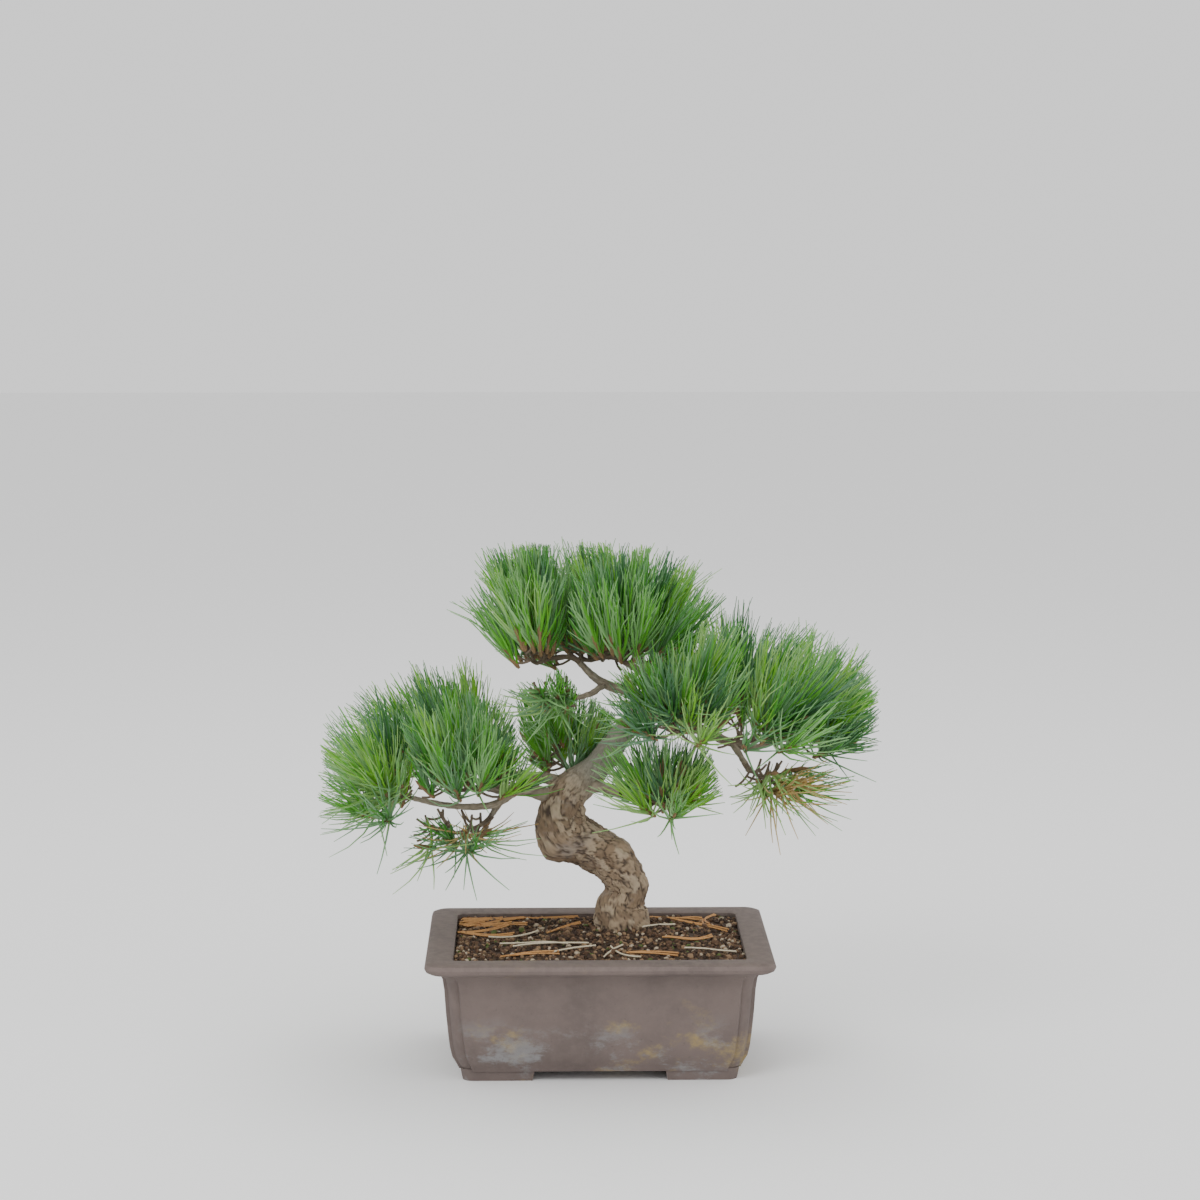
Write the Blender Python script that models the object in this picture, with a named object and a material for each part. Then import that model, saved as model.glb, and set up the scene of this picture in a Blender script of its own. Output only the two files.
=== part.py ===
"""Japanese white pine bonsai, a small tree with needles in fives, in its clay pot.

Metres, +Z up. The origin is on the ground under the middle of the pot, +X runs
along the pot to the right and -Y faces the front.
"""

import math
import random

import bmesh
import bpy
from mathutils import Matrix, Vector
from mathutils.geometry import intersect_point_line

MM = 0.001
GAP = 0.0003

# Pot, by its rim
POT_LENGTH = 0.200
POT_WIDTH = 0.148
POT_HEIGHT = 0.0727
FLOOR_UNDERSIDE = 0.006
FLOOR_TOP = 0.012
CORNER_SEGMENTS = 4
CORNER_RUN = 0.0008
DRAIN_RADIUS = 0.007
DRAIN_SPACING = 0.084
FOOT_LENGTH = 0.043
FOOT_RETURN = 0.030
FOOT_WALL = 0.010
FOOT_INSET = 0.0196
FOOT_TAPER = 0.0014
FOOT_SINK = 0.0012
FOOT_CORNER = 0.006

# Each row of the pot's section in millimetres: inset from the rim, height, corner radius, corner step
POT_OUTSIDE = (
    (18.9, 6.0, 7.5, 1.8),
    (17.6, 9.0, 8.0, 2.0),
    (15.2, 13.5, 8.5, 2.2),
    (13.9, 19.5, 8.5, 2.2),
    (13.0, 27.0, 8.5, 2.2),
    (11.8, 40.0, 8.5, 2.2),
    (10.9, 54.0, 8.5, 2.2),
    (10.0, 60.5, 8.5, 2.0),
    (8.6, 63.8, 8.5, 1.2),
    (6.0, 65.5, 9.0, 0.4),
    (2.8, 66.0, 9.0, 0.0),
    (0.9, 67.3, 9.0, 0.0),
    (0.0, 69.4, 9.0, 0.0),
    (0.7, 71.6, 9.0, 0.0),
    (2.6, 72.7, 8.0, 0.0),
)
POT_INSIDE = (
    (14.6, 72.7, 4.0, 0.0),
    (15.9, 71.7, 4.0, 0.0),
    (16.5, 66.0, 4.0, 0.0),
    (18.0, 40.0, 4.0, 0.0),
    (20.2, 17.0, 4.0, 0.0),
    (22.4, 12.0, 4.0, 0.0),
)

# Soil, filled to just under the rim and heaped up a little round the trunk
SOIL_CLEARANCE = 0.0004
SOIL_EDGE = 0.0690
SOIL_SEAT = 0.0739
SOIL_SEAT_RADIUS = 0.0205
SOIL_RINGS = 5
SOIL_WAVE = 0.0006

# Trunk: centre and radius in millimetres, from below the soil to the tip
TRUNK = (
    (13.8, 18.0, 64.4, 16.0),
    (13.8, 18.0, 80.2, 15.6),
    (14.0, 18.0, 88.1, 13.6),
    (16.7, 18.0, 96.0, 11.6),
    (14.3, 17.0, 104.7, 12.9),
    (8.9, 16.0, 113.4, 13.2),
    (0.0, 14.0, 120.5, 13.0),
    (-9.4, 11.0, 126.6, 13.8),
    (-18.3, 9.0, 132.4, 15.0),
    (-22.0, 8.0, 141.0, 14.4),
    (-21.4, 8.0, 148.8, 13.0),
    (-17.7, 9.5, 156.8, 11.4),
    (-8.5, 12.0, 163.5, 9.8),
    (-0.5, 13.5, 171.0, 8.0),
    (7.8, 15.0, 181.4, 7.3),
    (17.5, 17.0, 194.0, 5.9),
    (30.8, 20.0, 210.3, 4.2),
)

# Swollen places on the trunk in millimetres: middle, reach and height
BURLS = (
    (-29.0, 2.0, 119.0, 10.0, 6.0),
    (-35.0, 4.0, 134.0, 7.0, 1.4),
    (19.5, 9.0, 126.0, 8.0, 3.2),
    (27.9, 14.0, 101.0, 7.0, 1.4),
)
TRUNK_CUT = SOIL_SEAT + GAP
TRUNK_SIDES = 14
TRUNK_STEP = 0.0060
TRUNK_GROOVE = 0.055
FLARE = 0.05
FLARE_HEIGHT = 0.009

BOUGH_SIDES = 7
BOUGH_STEP = 0.010

# Boughs: the limb each grows from, then centre and radius in millimetres from root to tip
BOUGHS = {
    "bough_left": ("trunk", (
        (-24.7, 9.0, 152.5, 4.6), (-33.5, 2.0, 157.0, 4.3), (-43.4, -6.0, 161.1, 3.6),
        (-54.0, -10.0, 161.4, 3.0), (-64.0, -12.0, 163.2, 2.3))),
    "bough_left_far": ("bough_left", (
        (-47.5, -8.0, 161.2, 2.4), (-60.0, -22.0, 155.5, 2.1), (-78.0, -23.0, 154.2, 1.8),
        (-94.0, -19.0, 155.4, 1.6), (-107.0, -14.0, 157.4, 1.4))),
    "bough_left_low": ("bough_left", (
        (-55.0, -10.3, 161.5, 2.2), (-58.0, -8.0, 153.0, 1.9), (-62.5, -8.0, 146.0, 1.6))),
    "bough_left_rear": ("trunk", (
        (-18.8, 12.0, 158.5, 4.0), (-29.4, 22.0, 162.0, 3.5), (-41.2, 32.0, 161.0, 3.0),
        (-53.0, 40.0, 161.0, 2.4), (-63.0, 45.0, 161.8, 2.0))),
    "bough_rear_low": ("trunk", (
        (-14.0, 12.0, 159.5, 3.4), (-14.5, 27.0, 161.0, 2.9), (-17.0, 41.0, 162.5, 2.2))),
    "bough_right_low": ("trunk", (
        (-8.0, 10.0, 159.5, 3.5), (2.8, 3.0, 160.2, 3.3), (13.7, -4.0, 158.2, 2.9),
        (23.0, -9.5, 156.3, 2.5), (29.5, -13.0, 155.3, 2.1))),
    "bough_inner": ("trunk", (
        (4.5, 15.0, 177.0, 2.0), (12.5, 29.0, 170.0, 1.8), (19.0, 38.0, 160.5, 1.4))),
    "bough_upper_left": ("trunk", (
        (27.0, 19.0, 206.0, 3.2), (17.7, 14.0, 215.0, 3.0), (5.0, 9.0, 220.0, 2.6),
        (-3.6, 5.0, 226.5, 2.2), (-11.0, 2.0, 234.5, 1.7))),
    "bough_upper_left_low": ("bough_upper_left", (
        (4.0, 8.4, 220.7, 1.9), (-4.0, -1.0, 216.6, 1.7), (-13.0, -6.0, 214.8, 1.4))),
    "bough_top": ("trunk", (
        (29.0, 19.8, 207.5, 3.7), (31.5, 13.0, 221.0, 3.2), (27.5, 4.0, 231.0, 2.4),
        (22.0, 0.0, 239.5, 1.9))),
    "bough_top_rear": ("bough_top", (
        (31.5, 13.0, 221.0, 2.3), (25.0, 29.0, 225.0, 2.1), (14.0, 40.0, 230.0, 1.6))),
    "bough_middle": ("trunk", (
        (28.5, 19.4, 207.5, 2.6), (33.5, 3.0, 205.5, 2.4), (36.5, -12.0, 202.0, 2.1),
        (40.0, -23.0, 199.5, 1.7))),
    "bough_right": ("trunk", (
        (23.0, 18.0, 201.0, 3.6), (41.5, 15.0, 200.0, 3.3), (59.7, 8.0, 193.5, 3.0),
        (75.9, 4.0, 187.0, 2.5), (90.0, 3.0, 183.5, 2.0), (104.0, 3.0, 187.5, 1.6))),
    "bough_right_drop": ("bough_right", (
        (78.0, 3.8, 186.5, 2.0), (82.0, -4.0, 181.0, 1.8), (86.0, -10.0, 175.5, 1.5))),
    "bough_right_front": ("bough_right", (
        (60.5, 7.5, 193.2, 2.2), (69.0, -7.0, 191.5, 2.0), (77.0, -20.0, 191.5, 1.6))),
    "bough_right_rear": ("bough_right", (
        (66.0, 5.5, 191.0, 2.4), (73.0, 21.0, 195.0, 2.1), (79.0, 33.0, 201.0, 1.6))),
    "bough_rear": ("trunk", (
        (20.0, 17.0, 197.3, 3.2), (25.5, 34.0, 195.5, 2.7), (33.0, 50.0, 196.5, 2.0))),
}

# Training wire, wound round the low right bough from the trunk
WIRE_RADIUS = 0.0008
WIRE_TURNS = 2.6
WIRE_START = 0.30
WIRE_END = 0.93
WIRE_POINTS_PER_TURN = 11
WIRE_PHASE = 1.9

# Foliage masses in millimetres and degrees: bough, middle of the shoot tips, their spread,
# shoots, space, how upright the shoots stand, how wide the needles fan, how far they lift
MASSES = {
    "needles_far_left": ("bough_left_far", (-119, -12, 163), (9, 20, 5), 5, 42, 0.6, 76, 0.15),
    "needles_left": ("bough_left", (-79, -14, 171), (31, 28, 5), 10, 46, 1.4, 60, 0.3),
    "needles_left_low": ("bough_left_low", (-83, -15, 144), (20, 18, 3), 7, 42, 0.55, 78, 0.1),
    "needles_left_rear": ("bough_left_rear", (-86, 46, 170), (28, 20, 6), 8, 50, 1.0, 66, 0.25),
    "needles_rear_low": ("bough_rear_low", (-16, 50, 172), (24, 15, 5), 6, 44, 1.2, 60, 0.25),
    "needles_right_low": ("bough_right_low", (40, -20, 160), (10, 12, 2), 5, 44, 1.2, 62, 0.2),
    "needles_inner": ("bough_inner", (24, 44, 164), (8, 7, 2), 3, 30, 0.6, 60, 0.1),
    "needles_top_left": ("bough_upper_left", (-36, -6, 251), (10, 18, 12), 7, 46, 2.6, 36, 0.35),
    "needles_top_left_low": (
        "bough_upper_left_low", (-26, -13, 220), (12, 16, 4), 5, 40, 0.8, 74, 0.1),
    "needles_top": ("bough_top", (14, -10, 250), (22, 23, 10), 10, 52, 2.0, 46, 0.3),
    "needles_top_rear": ("bough_top_rear", (-4, 50, 240), (24, 17, 8), 8, 48, 1.4, 52, 0.2),
    "needles_middle": ("bough_middle", (48, -40, 212), (27, 20, 8), 8, 47, 1.0, 72, 0.2),
    "needles_right": ("bough_right", (117, 4, 197), (17, 27, 6), 9, 48, 0.7, 62, 0.15),
    "needles_right_drop": ("bough_right_drop", (96, -19, 175), (12, 12, 2), 5, 40, 0.35, 74, -0.05),
    "needles_right_front": ("bough_right_front", (88, -34, 204), (20, 17, 6), 6, 42, 1.0, 72, 0.2),
    "needles_right_rear": ("bough_right_rear", (82, 44, 206), (27, 20, 5), 8, 46, 0.7, 58, 0.1),
    "needles_rear": ("bough_rear", (42, 62, 206), (24, 12, 5), 6, 42, 0.9, 70, 0.2),
}
SEED = 5
GOLDEN_ANGLE = math.pi * (3 - math.sqrt(5))
CROWN_HALF_LENGTH = 0.1605
CROWN_HALF_WIDTH = 0.0950
CROWN_TOP = 0.3040
NEEDLE_LENGTH = 0.047
SHORTEST_SHARE = 0.55
NEEDLE_RADIUS = 0.0012
MASS_GAP = 0.0009
LIMB_GAP = 0.0012
CORE_LENGTH = 0.015
CORE_RADIUS = 0.0026
CORE_SIDES = 5
CORE_RINGS = 4
CORE_SINK = 0.004
FAN_INNER = math.radians(16)
NEEDLE_STRAY = 0.05
NEEDLE_CLEAR_FROM = 0.005
NEEDLE_TRIM = 0.0015
OWN_TUFT_SHARE = 0.5
HUB_DROP = 0.004
STEM_TIP_RADIUS = 0.0012
STEM_SIDES = 5
TWIG_RADIUS = 0.0011
TWIG_TIP_RADIUS = 0.0008
TWIG_PIECES = 2
TWIG_SAG = 0.12


def millimetres(row):
    """A place given in millimetres, in metres."""
    return Vector(row) * MM


def clear_scene():
    for old in list(bpy.data.objects):
        bpy.data.objects.remove(old)


def make_material(name, colour, roughness, metallic=0.0):
    material = bpy.data.materials.new(name)
    material.use_nodes = True
    shader = material.node_tree.nodes["Principled BSDF"]
    shader.inputs["Base Color"].default_value = (*colour, 1.0)
    shader.inputs["Roughness"].default_value = roughness
    shader.inputs["Metallic"].default_value = metallic
    return material


def make_object(name, bm, material=None, smooth=False):
    """A named object from a closed bmesh, with its faces turned outwards."""
    bmesh.ops.recalc_face_normals(bm, faces=bm.faces)
    if bm.calc_volume(signed=True) < 0:
        bmesh.ops.reverse_faces(bm, faces=bm.faces)
    mesh = bpy.data.meshes.new(name)
    bm.to_mesh(mesh)
    bm.free()
    if smooth:
        mesh.shade_smooth()
        mesh.set_sharp_from_angle(angle=math.radians(40))
    if material:
        mesh.materials.append(material)
    thing = bpy.data.objects.new(name, mesh)
    bpy.context.scene.collection.objects.link(thing)
    return thing


def fuse(thing, others, operation="UNION", solver="MANIFOLD"):
    """Apply one Boolean of a collection of other objects, which are then removed."""
    group = bpy.data.collections.new("group")
    bpy.context.scene.collection.children.link(group)
    for other in others:
        group.objects.link(other)
    step = thing.modifiers.new("Boolean", "BOOLEAN")
    step.operation = operation
    step.solver = solver
    step.operand_type = "COLLECTION"
    step.collection = group
    step.use_self = solver == "EXACT"
    depsgraph = bpy.context.evaluated_depsgraph_get()
    mesh = bpy.data.meshes.new_from_object(thing.evaluated_get(depsgraph))
    thing.modifiers.clear()
    thing.data = mesh
    for other in others:
        bpy.data.objects.remove(other)
    bpy.data.collections.remove(group)


def islands(bm):
    """The separate pieces of a bmesh, as lists of faces."""
    left = set(bm.faces)
    found = []
    while left:
        front = [left.pop()]
        piece = list(front)
        while front:
            face = front.pop()
            for edge in face.edges:
                for near in edge.link_faces:
                    if near in left:
                        left.remove(near)
                        front.append(near)
                        piece.append(near)
        found.append(piece)
    return found


def keep_main_body(thing):
    """Fill sealed hollows and drop loose scraps: only the piece with the most faces stays."""
    bm = bmesh.new()
    bm.from_mesh(thing.data)
    bmesh.ops.triangulate(bm, faces=bm.faces)
    pieces = sorted(islands(bm), key=len)
    spare = [face for piece in pieces[:-1] for face in piece]
    bmesh.ops.delete(bm, geom=spare, context="FACES")
    bm.to_mesh(thing.data)
    bm.free()


def outline(half_length, half_width, corner, step):
    """A rectangle whose corners are rounded and set back by a step, anticlockwise."""
    points = []
    for turn in range(4):
        sign_x = 1 if turn in (0, 3) else -1
        sign_y = 1 if turn in (0, 1) else -1
        centre = Vector((sign_x * (half_length - corner), sign_y * (half_width - corner)))
        start = turn * math.pi / 2
        along = Vector((math.cos(start), math.sin(start)))
        across = Vector((-along.y, along.x))
        points.append(centre + along * corner - across * CORNER_RUN)
        for k in range(CORNER_SEGMENTS + 1):
            angle = start + k / CORNER_SEGMENTS * math.pi / 2
            points.append(centre + Vector((math.cos(angle), math.sin(angle))) * (corner - step))
        points.append(centre + across * corner - along * CORNER_RUN)
    return points


def section_ring(inset, height, corner, step):
    """One ring of the pot's section, from a row in millimetres."""
    half_length = POT_LENGTH / 2 - inset * MM
    half_width = POT_WIDTH / 2 - inset * MM
    flat = outline(half_length, half_width, corner * MM, step * MM)
    return [Vector((point.x, point.y, height * MM)) for point in flat]


def loft(rings):
    """A closed body through rings of points, with flat ends."""
    bm = bmesh.new()
    previous = None
    for number, ring in enumerate(rings):
        verts = [bm.verts.new(point) for point in ring]
        edges = [bm.edges.new((verts[i - 1], verts[i])) for i in range(len(verts))]
        if number in (0, len(rings) - 1):
            bm.faces.new(verts)
        if previous:
            bmesh.ops.bridge_loops(bm, edges=previous + edges)
        previous = edges
    return bm


def build_foot(sign_x, sign_y):
    """One L-shaped foot under a corner, a little narrower at the ground."""
    bm = bmesh.new()
    length = POT_LENGTH / 2 - FOOT_INSET
    width = POT_WIDTH / 2 - FOOT_INSET
    points = [(length - FOOT_LENGTH, width)]
    for k in range(CORNER_SEGMENTS + 1):
        angle = math.pi / 2 * (1 - k / CORNER_SEGMENTS)
        points.append((length - FOOT_CORNER * (1 - math.cos(angle)),
                       width - FOOT_CORNER * (1 - math.sin(angle))))
    points.append((length, width - FOOT_RETURN))
    points.append((length - FOOT_WALL, width - FOOT_RETURN))
    points.append((length - FOOT_WALL, width - FOOT_WALL))
    points.append((length - FOOT_LENGTH, width - FOOT_WALL))
    top = FLOOR_UNDERSIDE + FOOT_SINK
    verts = [bm.verts.new((x * sign_x, y * sign_y, top)) for x, y in points]
    face = bm.faces.new(verts)
    grown = bmesh.ops.extrude_face_region(bm, geom=[face])
    middle = Vector(((length - FOOT_LENGTH / 2) * sign_x, (width - FOOT_RETURN / 2) * sign_y, 0))
    for vert in grown["geom"]:
        if isinstance(vert, bmesh.types.BMVert):
            vert.co.z = 0
            outward = vert.co - middle
            vert.co.x -= math.copysign(FOOT_TAPER, outward.x)
            vert.co.y -= math.copysign(FOOT_TAPER, outward.y)
    return make_object("foot", bm)


def build_pot(material):
    bm = loft([section_ring(*row) for row in POT_OUTSIDE + POT_INSIDE])
    pot = make_object("pot", bm, material)
    feet = [build_foot(sign_x, sign_y) for sign_x in (1, -1) for sign_y in (1, -1)]
    fuse(pot, feet)
    drains = []
    for sign in (1, -1):
        bm = bmesh.new()
        place = Matrix.Translation((sign * DRAIN_SPACING / 2, 0, FLOOR_TOP))
        bmesh.ops.create_cone(bm, cap_ends=True, segments=12, radius1=DRAIN_RADIUS,
                              radius2=DRAIN_RADIUS, depth=FLOOR_TOP * 1.8, matrix=place)
        drains.append(make_object("drain", bm))
    fuse(pot, drains, "DIFFERENCE")
    return pot


def build_soil(material):
    """The filled inside of the pot, with a low mound and a flat seat under the trunk."""
    rings = []
    for inset, height, corner, step in reversed(POT_INSIDE[2:]):
        clear = inset + SOIL_CLEARANCE / MM
        lift = SOIL_CLEARANCE / MM if height * MM == FLOOR_TOP else 0
        rings.append(section_ring(clear, height + lift, corner, step))
    clear = POT_INSIDE[2][0] + SOIL_CLEARANCE / MM
    edge = section_ring(clear, SOIL_EDGE / MM, POT_INSIDE[2][2], 0)
    rings.append(edge)
    seat = Vector((TRUNK[0][0] * MM, TRUNK[0][1] * MM, 0))
    for k in range(1, SOIL_RINGS + 1):
        share = k / SOIL_RINGS
        ring = []
        for number, point in enumerate(edge):
            away = (point - seat).to_2d().normalized() * SOIL_SEAT_RADIUS
            goal = Vector((seat.x + away.x, seat.y + away.y, SOIL_SEAT))
            at = point.lerp(goal, 1 - (1 - share) ** 1.3)
            rise = share * share * (3 - 2 * share)
            wave = SOIL_WAVE * math.sin(number * 2.4 + k * 1.7) * (1 - share)
            at.z = SOIL_EDGE + (SOIL_SEAT - SOIL_EDGE) * rise + wave
            ring.append(at)
        rings.append(ring)
    return make_object("soil", loft(rings), material)


def smooth_path(rows, spacing):
    """Points and radii along a smooth curve through rows of millimetres."""
    places = [millimetres(row[:3]) for row in rows]
    radii = [row[3] * MM for row in rows]
    places = [places[0] * 2 - places[1], *places, places[-1] * 2 - places[-2]]
    radii = [radii[0], *radii, radii[-1]]
    path = []
    for i in range(1, len(places) - 2):
        pieces = max(1, round((places[i + 1] - places[i]).length / spacing))
        for k in range(pieces):
            t = k / pieces
            weights = (
                (-t + 2 * t * t - t ** 3) / 2,
                (2 - 5 * t * t + 3 * t ** 3) / 2,
                (t + 4 * t * t - 3 * t ** 3) / 2,
                (-t * t + t ** 3) / 2,
            )
            at = Vector((0, 0, 0))
            for weight, place in zip(weights, places[i - 1:i + 3]):
                at += place * weight
            path.append((at, radii[i] * (1 - t) + radii[i + 1] * t))
    path.append((places[-2], radii[-2]))
    return path


def steady_axis(path):
    """The world axis that a limb runs along least, from which its rings are turned."""
    along = path[-1][0] - path[0][0]
    sizes = [abs(value) for value in along]
    axis = Vector((0, 0, 0))
    axis[sizes.index(min(sizes))] = 1.0
    return axis


def tangents(path):
    found = []
    for i in range(len(path)):
        after = path[min(i + 1, len(path) - 1)][0]
        before = path[max(i - 1, 0)][0]
        found.append((after - before).normalized())
    return found


def tube(path, sides, extra=0.0, relief=None):
    """A closed limb along a path; relief gives the radius at an angle and a place."""
    bm = bmesh.new()
    axis = steady_axis(path)
    previous = None
    for i, ((centre, radius), along) in enumerate(zip(path, tangents(path))):
        side = (axis - along * axis.dot(along)).normalized()
        up = along.cross(side)
        verts = []
        for k in range(sides):
            angle = 2 * math.pi * k / sides
            out = side * math.cos(angle) + up * math.sin(angle)
            reach = relief(angle, centre, out, radius) if relief else radius
            verts.append(bm.verts.new(centre + out * (reach + extra)))
        edges = [bm.edges.new((verts[k - 1], verts[k])) for k in range(sides)]
        if i in (0, len(path) - 1):
            bm.faces.new(verts)
        if previous:
            bmesh.ops.bridge_loops(bm, edges=previous + edges)
        previous = edges
    return bm


def trunk_relief(angle, centre, out, radius):
    """The trunk's radius with the grooves that wind up it, its burls and its root flare."""
    groove = TRUNK_GROOVE * math.cos(3 * angle + centre.z * 70)
    groove += TRUNK_GROOVE * 0.6 * math.cos(5 * angle - centre.z * 110)
    flare = FLARE * math.exp(-max(0.0, centre.z - TRUNK_CUT) / FLARE_HEIGHT)
    swollen = radius * (1.0 + groove + flare * (1 + 0.6 * math.cos(4 * angle + 0.7)))
    at = centre + out * radius
    for *middle, reach, rise in BURLS:
        apart = (at - millimetres(middle)).length / (reach * MM)
        swollen += rise * MM * math.exp(-apart * apart)
    return swollen


def build_trunk(path, material):
    bm = tube(path, TRUNK_SIDES, relief=trunk_relief)
    everything = list(bm.verts) + list(bm.edges) + list(bm.faces)
    cut = bmesh.ops.bisect_plane(bm, geom=everything, plane_co=(0, 0, TRUNK_CUT),
                                 plane_no=(0, 0, -1), clear_outer=True)
    rim = [edge for edge in cut["geom_cut"] if isinstance(edge, bmesh.types.BMEdge)]
    bmesh.ops.contextual_create(bm, geom=rim)
    return make_object("trunk", bm, material, smooth=True)


def build_bough(name, paths, material):
    """A tapering limb whose root is cut to its parent's surface, just clear of it."""
    parent = BOUGHS[name][0]
    path = paths[name]
    bough = make_object(name, tube(path, BOUGH_SIDES), material, smooth=True)
    sides = TRUNK_SIDES if parent == "trunk" else BOUGH_SIDES
    relief = trunk_relief if parent == "trunk" else None
    cutter = make_object("cutter", tube(paths[parent], sides, GAP, relief))
    fuse(bough, [cutter], "DIFFERENCE", "EXACT")
    keep_main_body(bough)
    return bough


def nearest_distance(a, b, c, d):
    """Least distance between the stretches a-b and c-d, and how far along each it lies."""
    u, v, w = b - a, d - c, a - c
    uu, uv, vv = u.dot(u), u.dot(v), v.dot(v)
    uw, vw = u.dot(w), v.dot(w)
    spread = uu * vv - uv * uv
    s = min(1.0, max(0.0, (uv * vw - vv * uw) / spread)) if spread > 1e-14 else 0.0
    t = min(1.0, max(0.0, (uv * s + vw) / vv))
    s = min(1.0, max(0.0, (uv * t - uw) / uu))
    return (a + u * s - c - v * t).length, s, t


class Growth:
    """What is already grown, so that a new twig or needle can be kept clear of it."""

    def __init__(self, paths, centres):
        self.centres = centres
        self.limbs = []
        for path in paths.values():
            for (start, radius), (end, _) in zip(path, path[1:]):
                self.limbs.append((start, end, radius))
        self.needles = []

    def in_space(self, place, name):
        """Whether a place lies in a mass's own space and within the crown's reach."""
        inside = abs(place.x) <= CROWN_HALF_LENGTH and abs(place.y) <= CROWN_HALF_WIDTH
        if not inside or place.z > CROWN_TOP:
            return False
        middle, space = self.centres[name]
        own = (place - middle).length_squared - space * space
        for other, (centre, size) in self.centres.items():
            if other == name:
                continue
            apart = (centre - middle).length
            theirs = (place - centre).length_squared - size * size
            if own > theirs - 2 * MASS_GAP * apart:
                return False
        return True

    def clears_limbs(self, start, end, radius, gap=LIMB_GAP):
        for low, high, size in self.limbs:
            if nearest_distance(start, end, low, high)[0] < size * 1.16 + radius + gap:
                return False
        return True

    def clears_needles(self, start, end, others, share=1.0):
        for low, high in others:
            apart, s, t = nearest_distance(start, end, low, high)
            if apart < NEEDLE_RADIUS * share * (2.2 - s - t):
                return False
        return True


def nearest_on(path, place):
    """The place on a path's middle line that is nearest to another place."""
    found = []
    for (low, _), (high, _) in zip(path, path[1:]):
        share = intersect_point_line(place, low, high)[1]
        found.append(low.lerp(high, min(1.0, max(0.0, share))))
    return min(found, key=lambda at: (at - place).length)


def shoot_path(onto, tip, axis):
    """A twig that dips a little, turns up, and swells into a slim core."""
    path = []
    length = (tip - onto).length
    for k in range(TWIG_PIECES):
        t = k / TWIG_PIECES
        at = onto.lerp(tip - axis * CORE_SINK, t)
        at.z -= TWIG_SAG * length * math.sin(math.pi * t)
        path.append((at, TWIG_RADIUS + (TWIG_TIP_RADIUS - TWIG_RADIUS) * t))
    for k in range(CORE_RINGS):
        share = k / (CORE_RINGS - 1)
        radius = CORE_RADIUS * (0.55 + 0.7 * math.sin(math.pi * share) - 0.15 * share)
        path.append((tip + axis * (CORE_LENGTH * share - CORE_SINK), radius))
    return path


def needle_aim(middle, foot, axis, fan, lift, rng):
    """Which way a needle leaves its core: near the foot outwards, near the top along the axis."""
    share = (middle - foot).dot(axis) / CORE_LENGTH
    if share < 0.04:
        return None
    out = middle - foot - axis * (middle - foot).dot(axis)
    lean = fan + (FAN_INNER - fan) * min(1.0, share)
    if out.length < CORE_RADIUS * 0.2:
        lean = 0.0
        out = axis
    lean += rng.uniform(-NEEDLE_STRAY, NEEDLE_STRAY)
    aim = axis * math.cos(lean) + out.normalized() * math.sin(lean)
    aim.z += lift
    return aim.normalized()


def reach_in_space(start, aim, length, name, growth):
    """How long a needle can be before it leaves its mass's space, or nothing if too short."""
    while length > NEEDLE_LENGTH * SHORTEST_SHARE:
        if growth.in_space(start + aim * length, name):
            return length
        length -= NEEDLE_TRIM
    return None


def build_shoot(onto, tip, axis, name, growth, rng):
    """A twig with a slim core at its end, and needles drawn out of the core's faces."""
    fan, lift = math.radians(MASSES[name][6]), MASSES[name][7]
    path = shoot_path(onto, tip, axis)
    bm = tube(path, CORE_SIDES)
    bmesh.ops.triangulate(bm, faces=bm.faces)
    foot = path[TWIG_PIECES][0]
    grown = []
    for face in list(bm.faces):
        middle = face.calc_center_median()
        aim = needle_aim(middle, foot, axis, fan, lift, rng)
        if not aim:
            continue
        length = NEEDLE_LENGTH * rng.uniform(0.86, 1.04)
        length = reach_in_space(middle, aim, length, name, growth)
        if not length:
            continue
        start = middle + aim * NEEDLE_CLEAR_FROM
        end = middle + aim * length
        if not growth.clears_limbs(start, end, NEEDLE_RADIUS * 0.5):
            continue
        if not growth.clears_needles(start, end, growth.needles):
            continue
        if not growth.clears_needles(start, end, grown, OWN_TUFT_SHARE):
            continue
        poked = bmesh.ops.poke(bm, faces=[face])
        poked["verts"][0].co = end
        grown.append((start, end))
    growth.needles.extend(grown)
    return make_object("shoot", bm)


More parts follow.
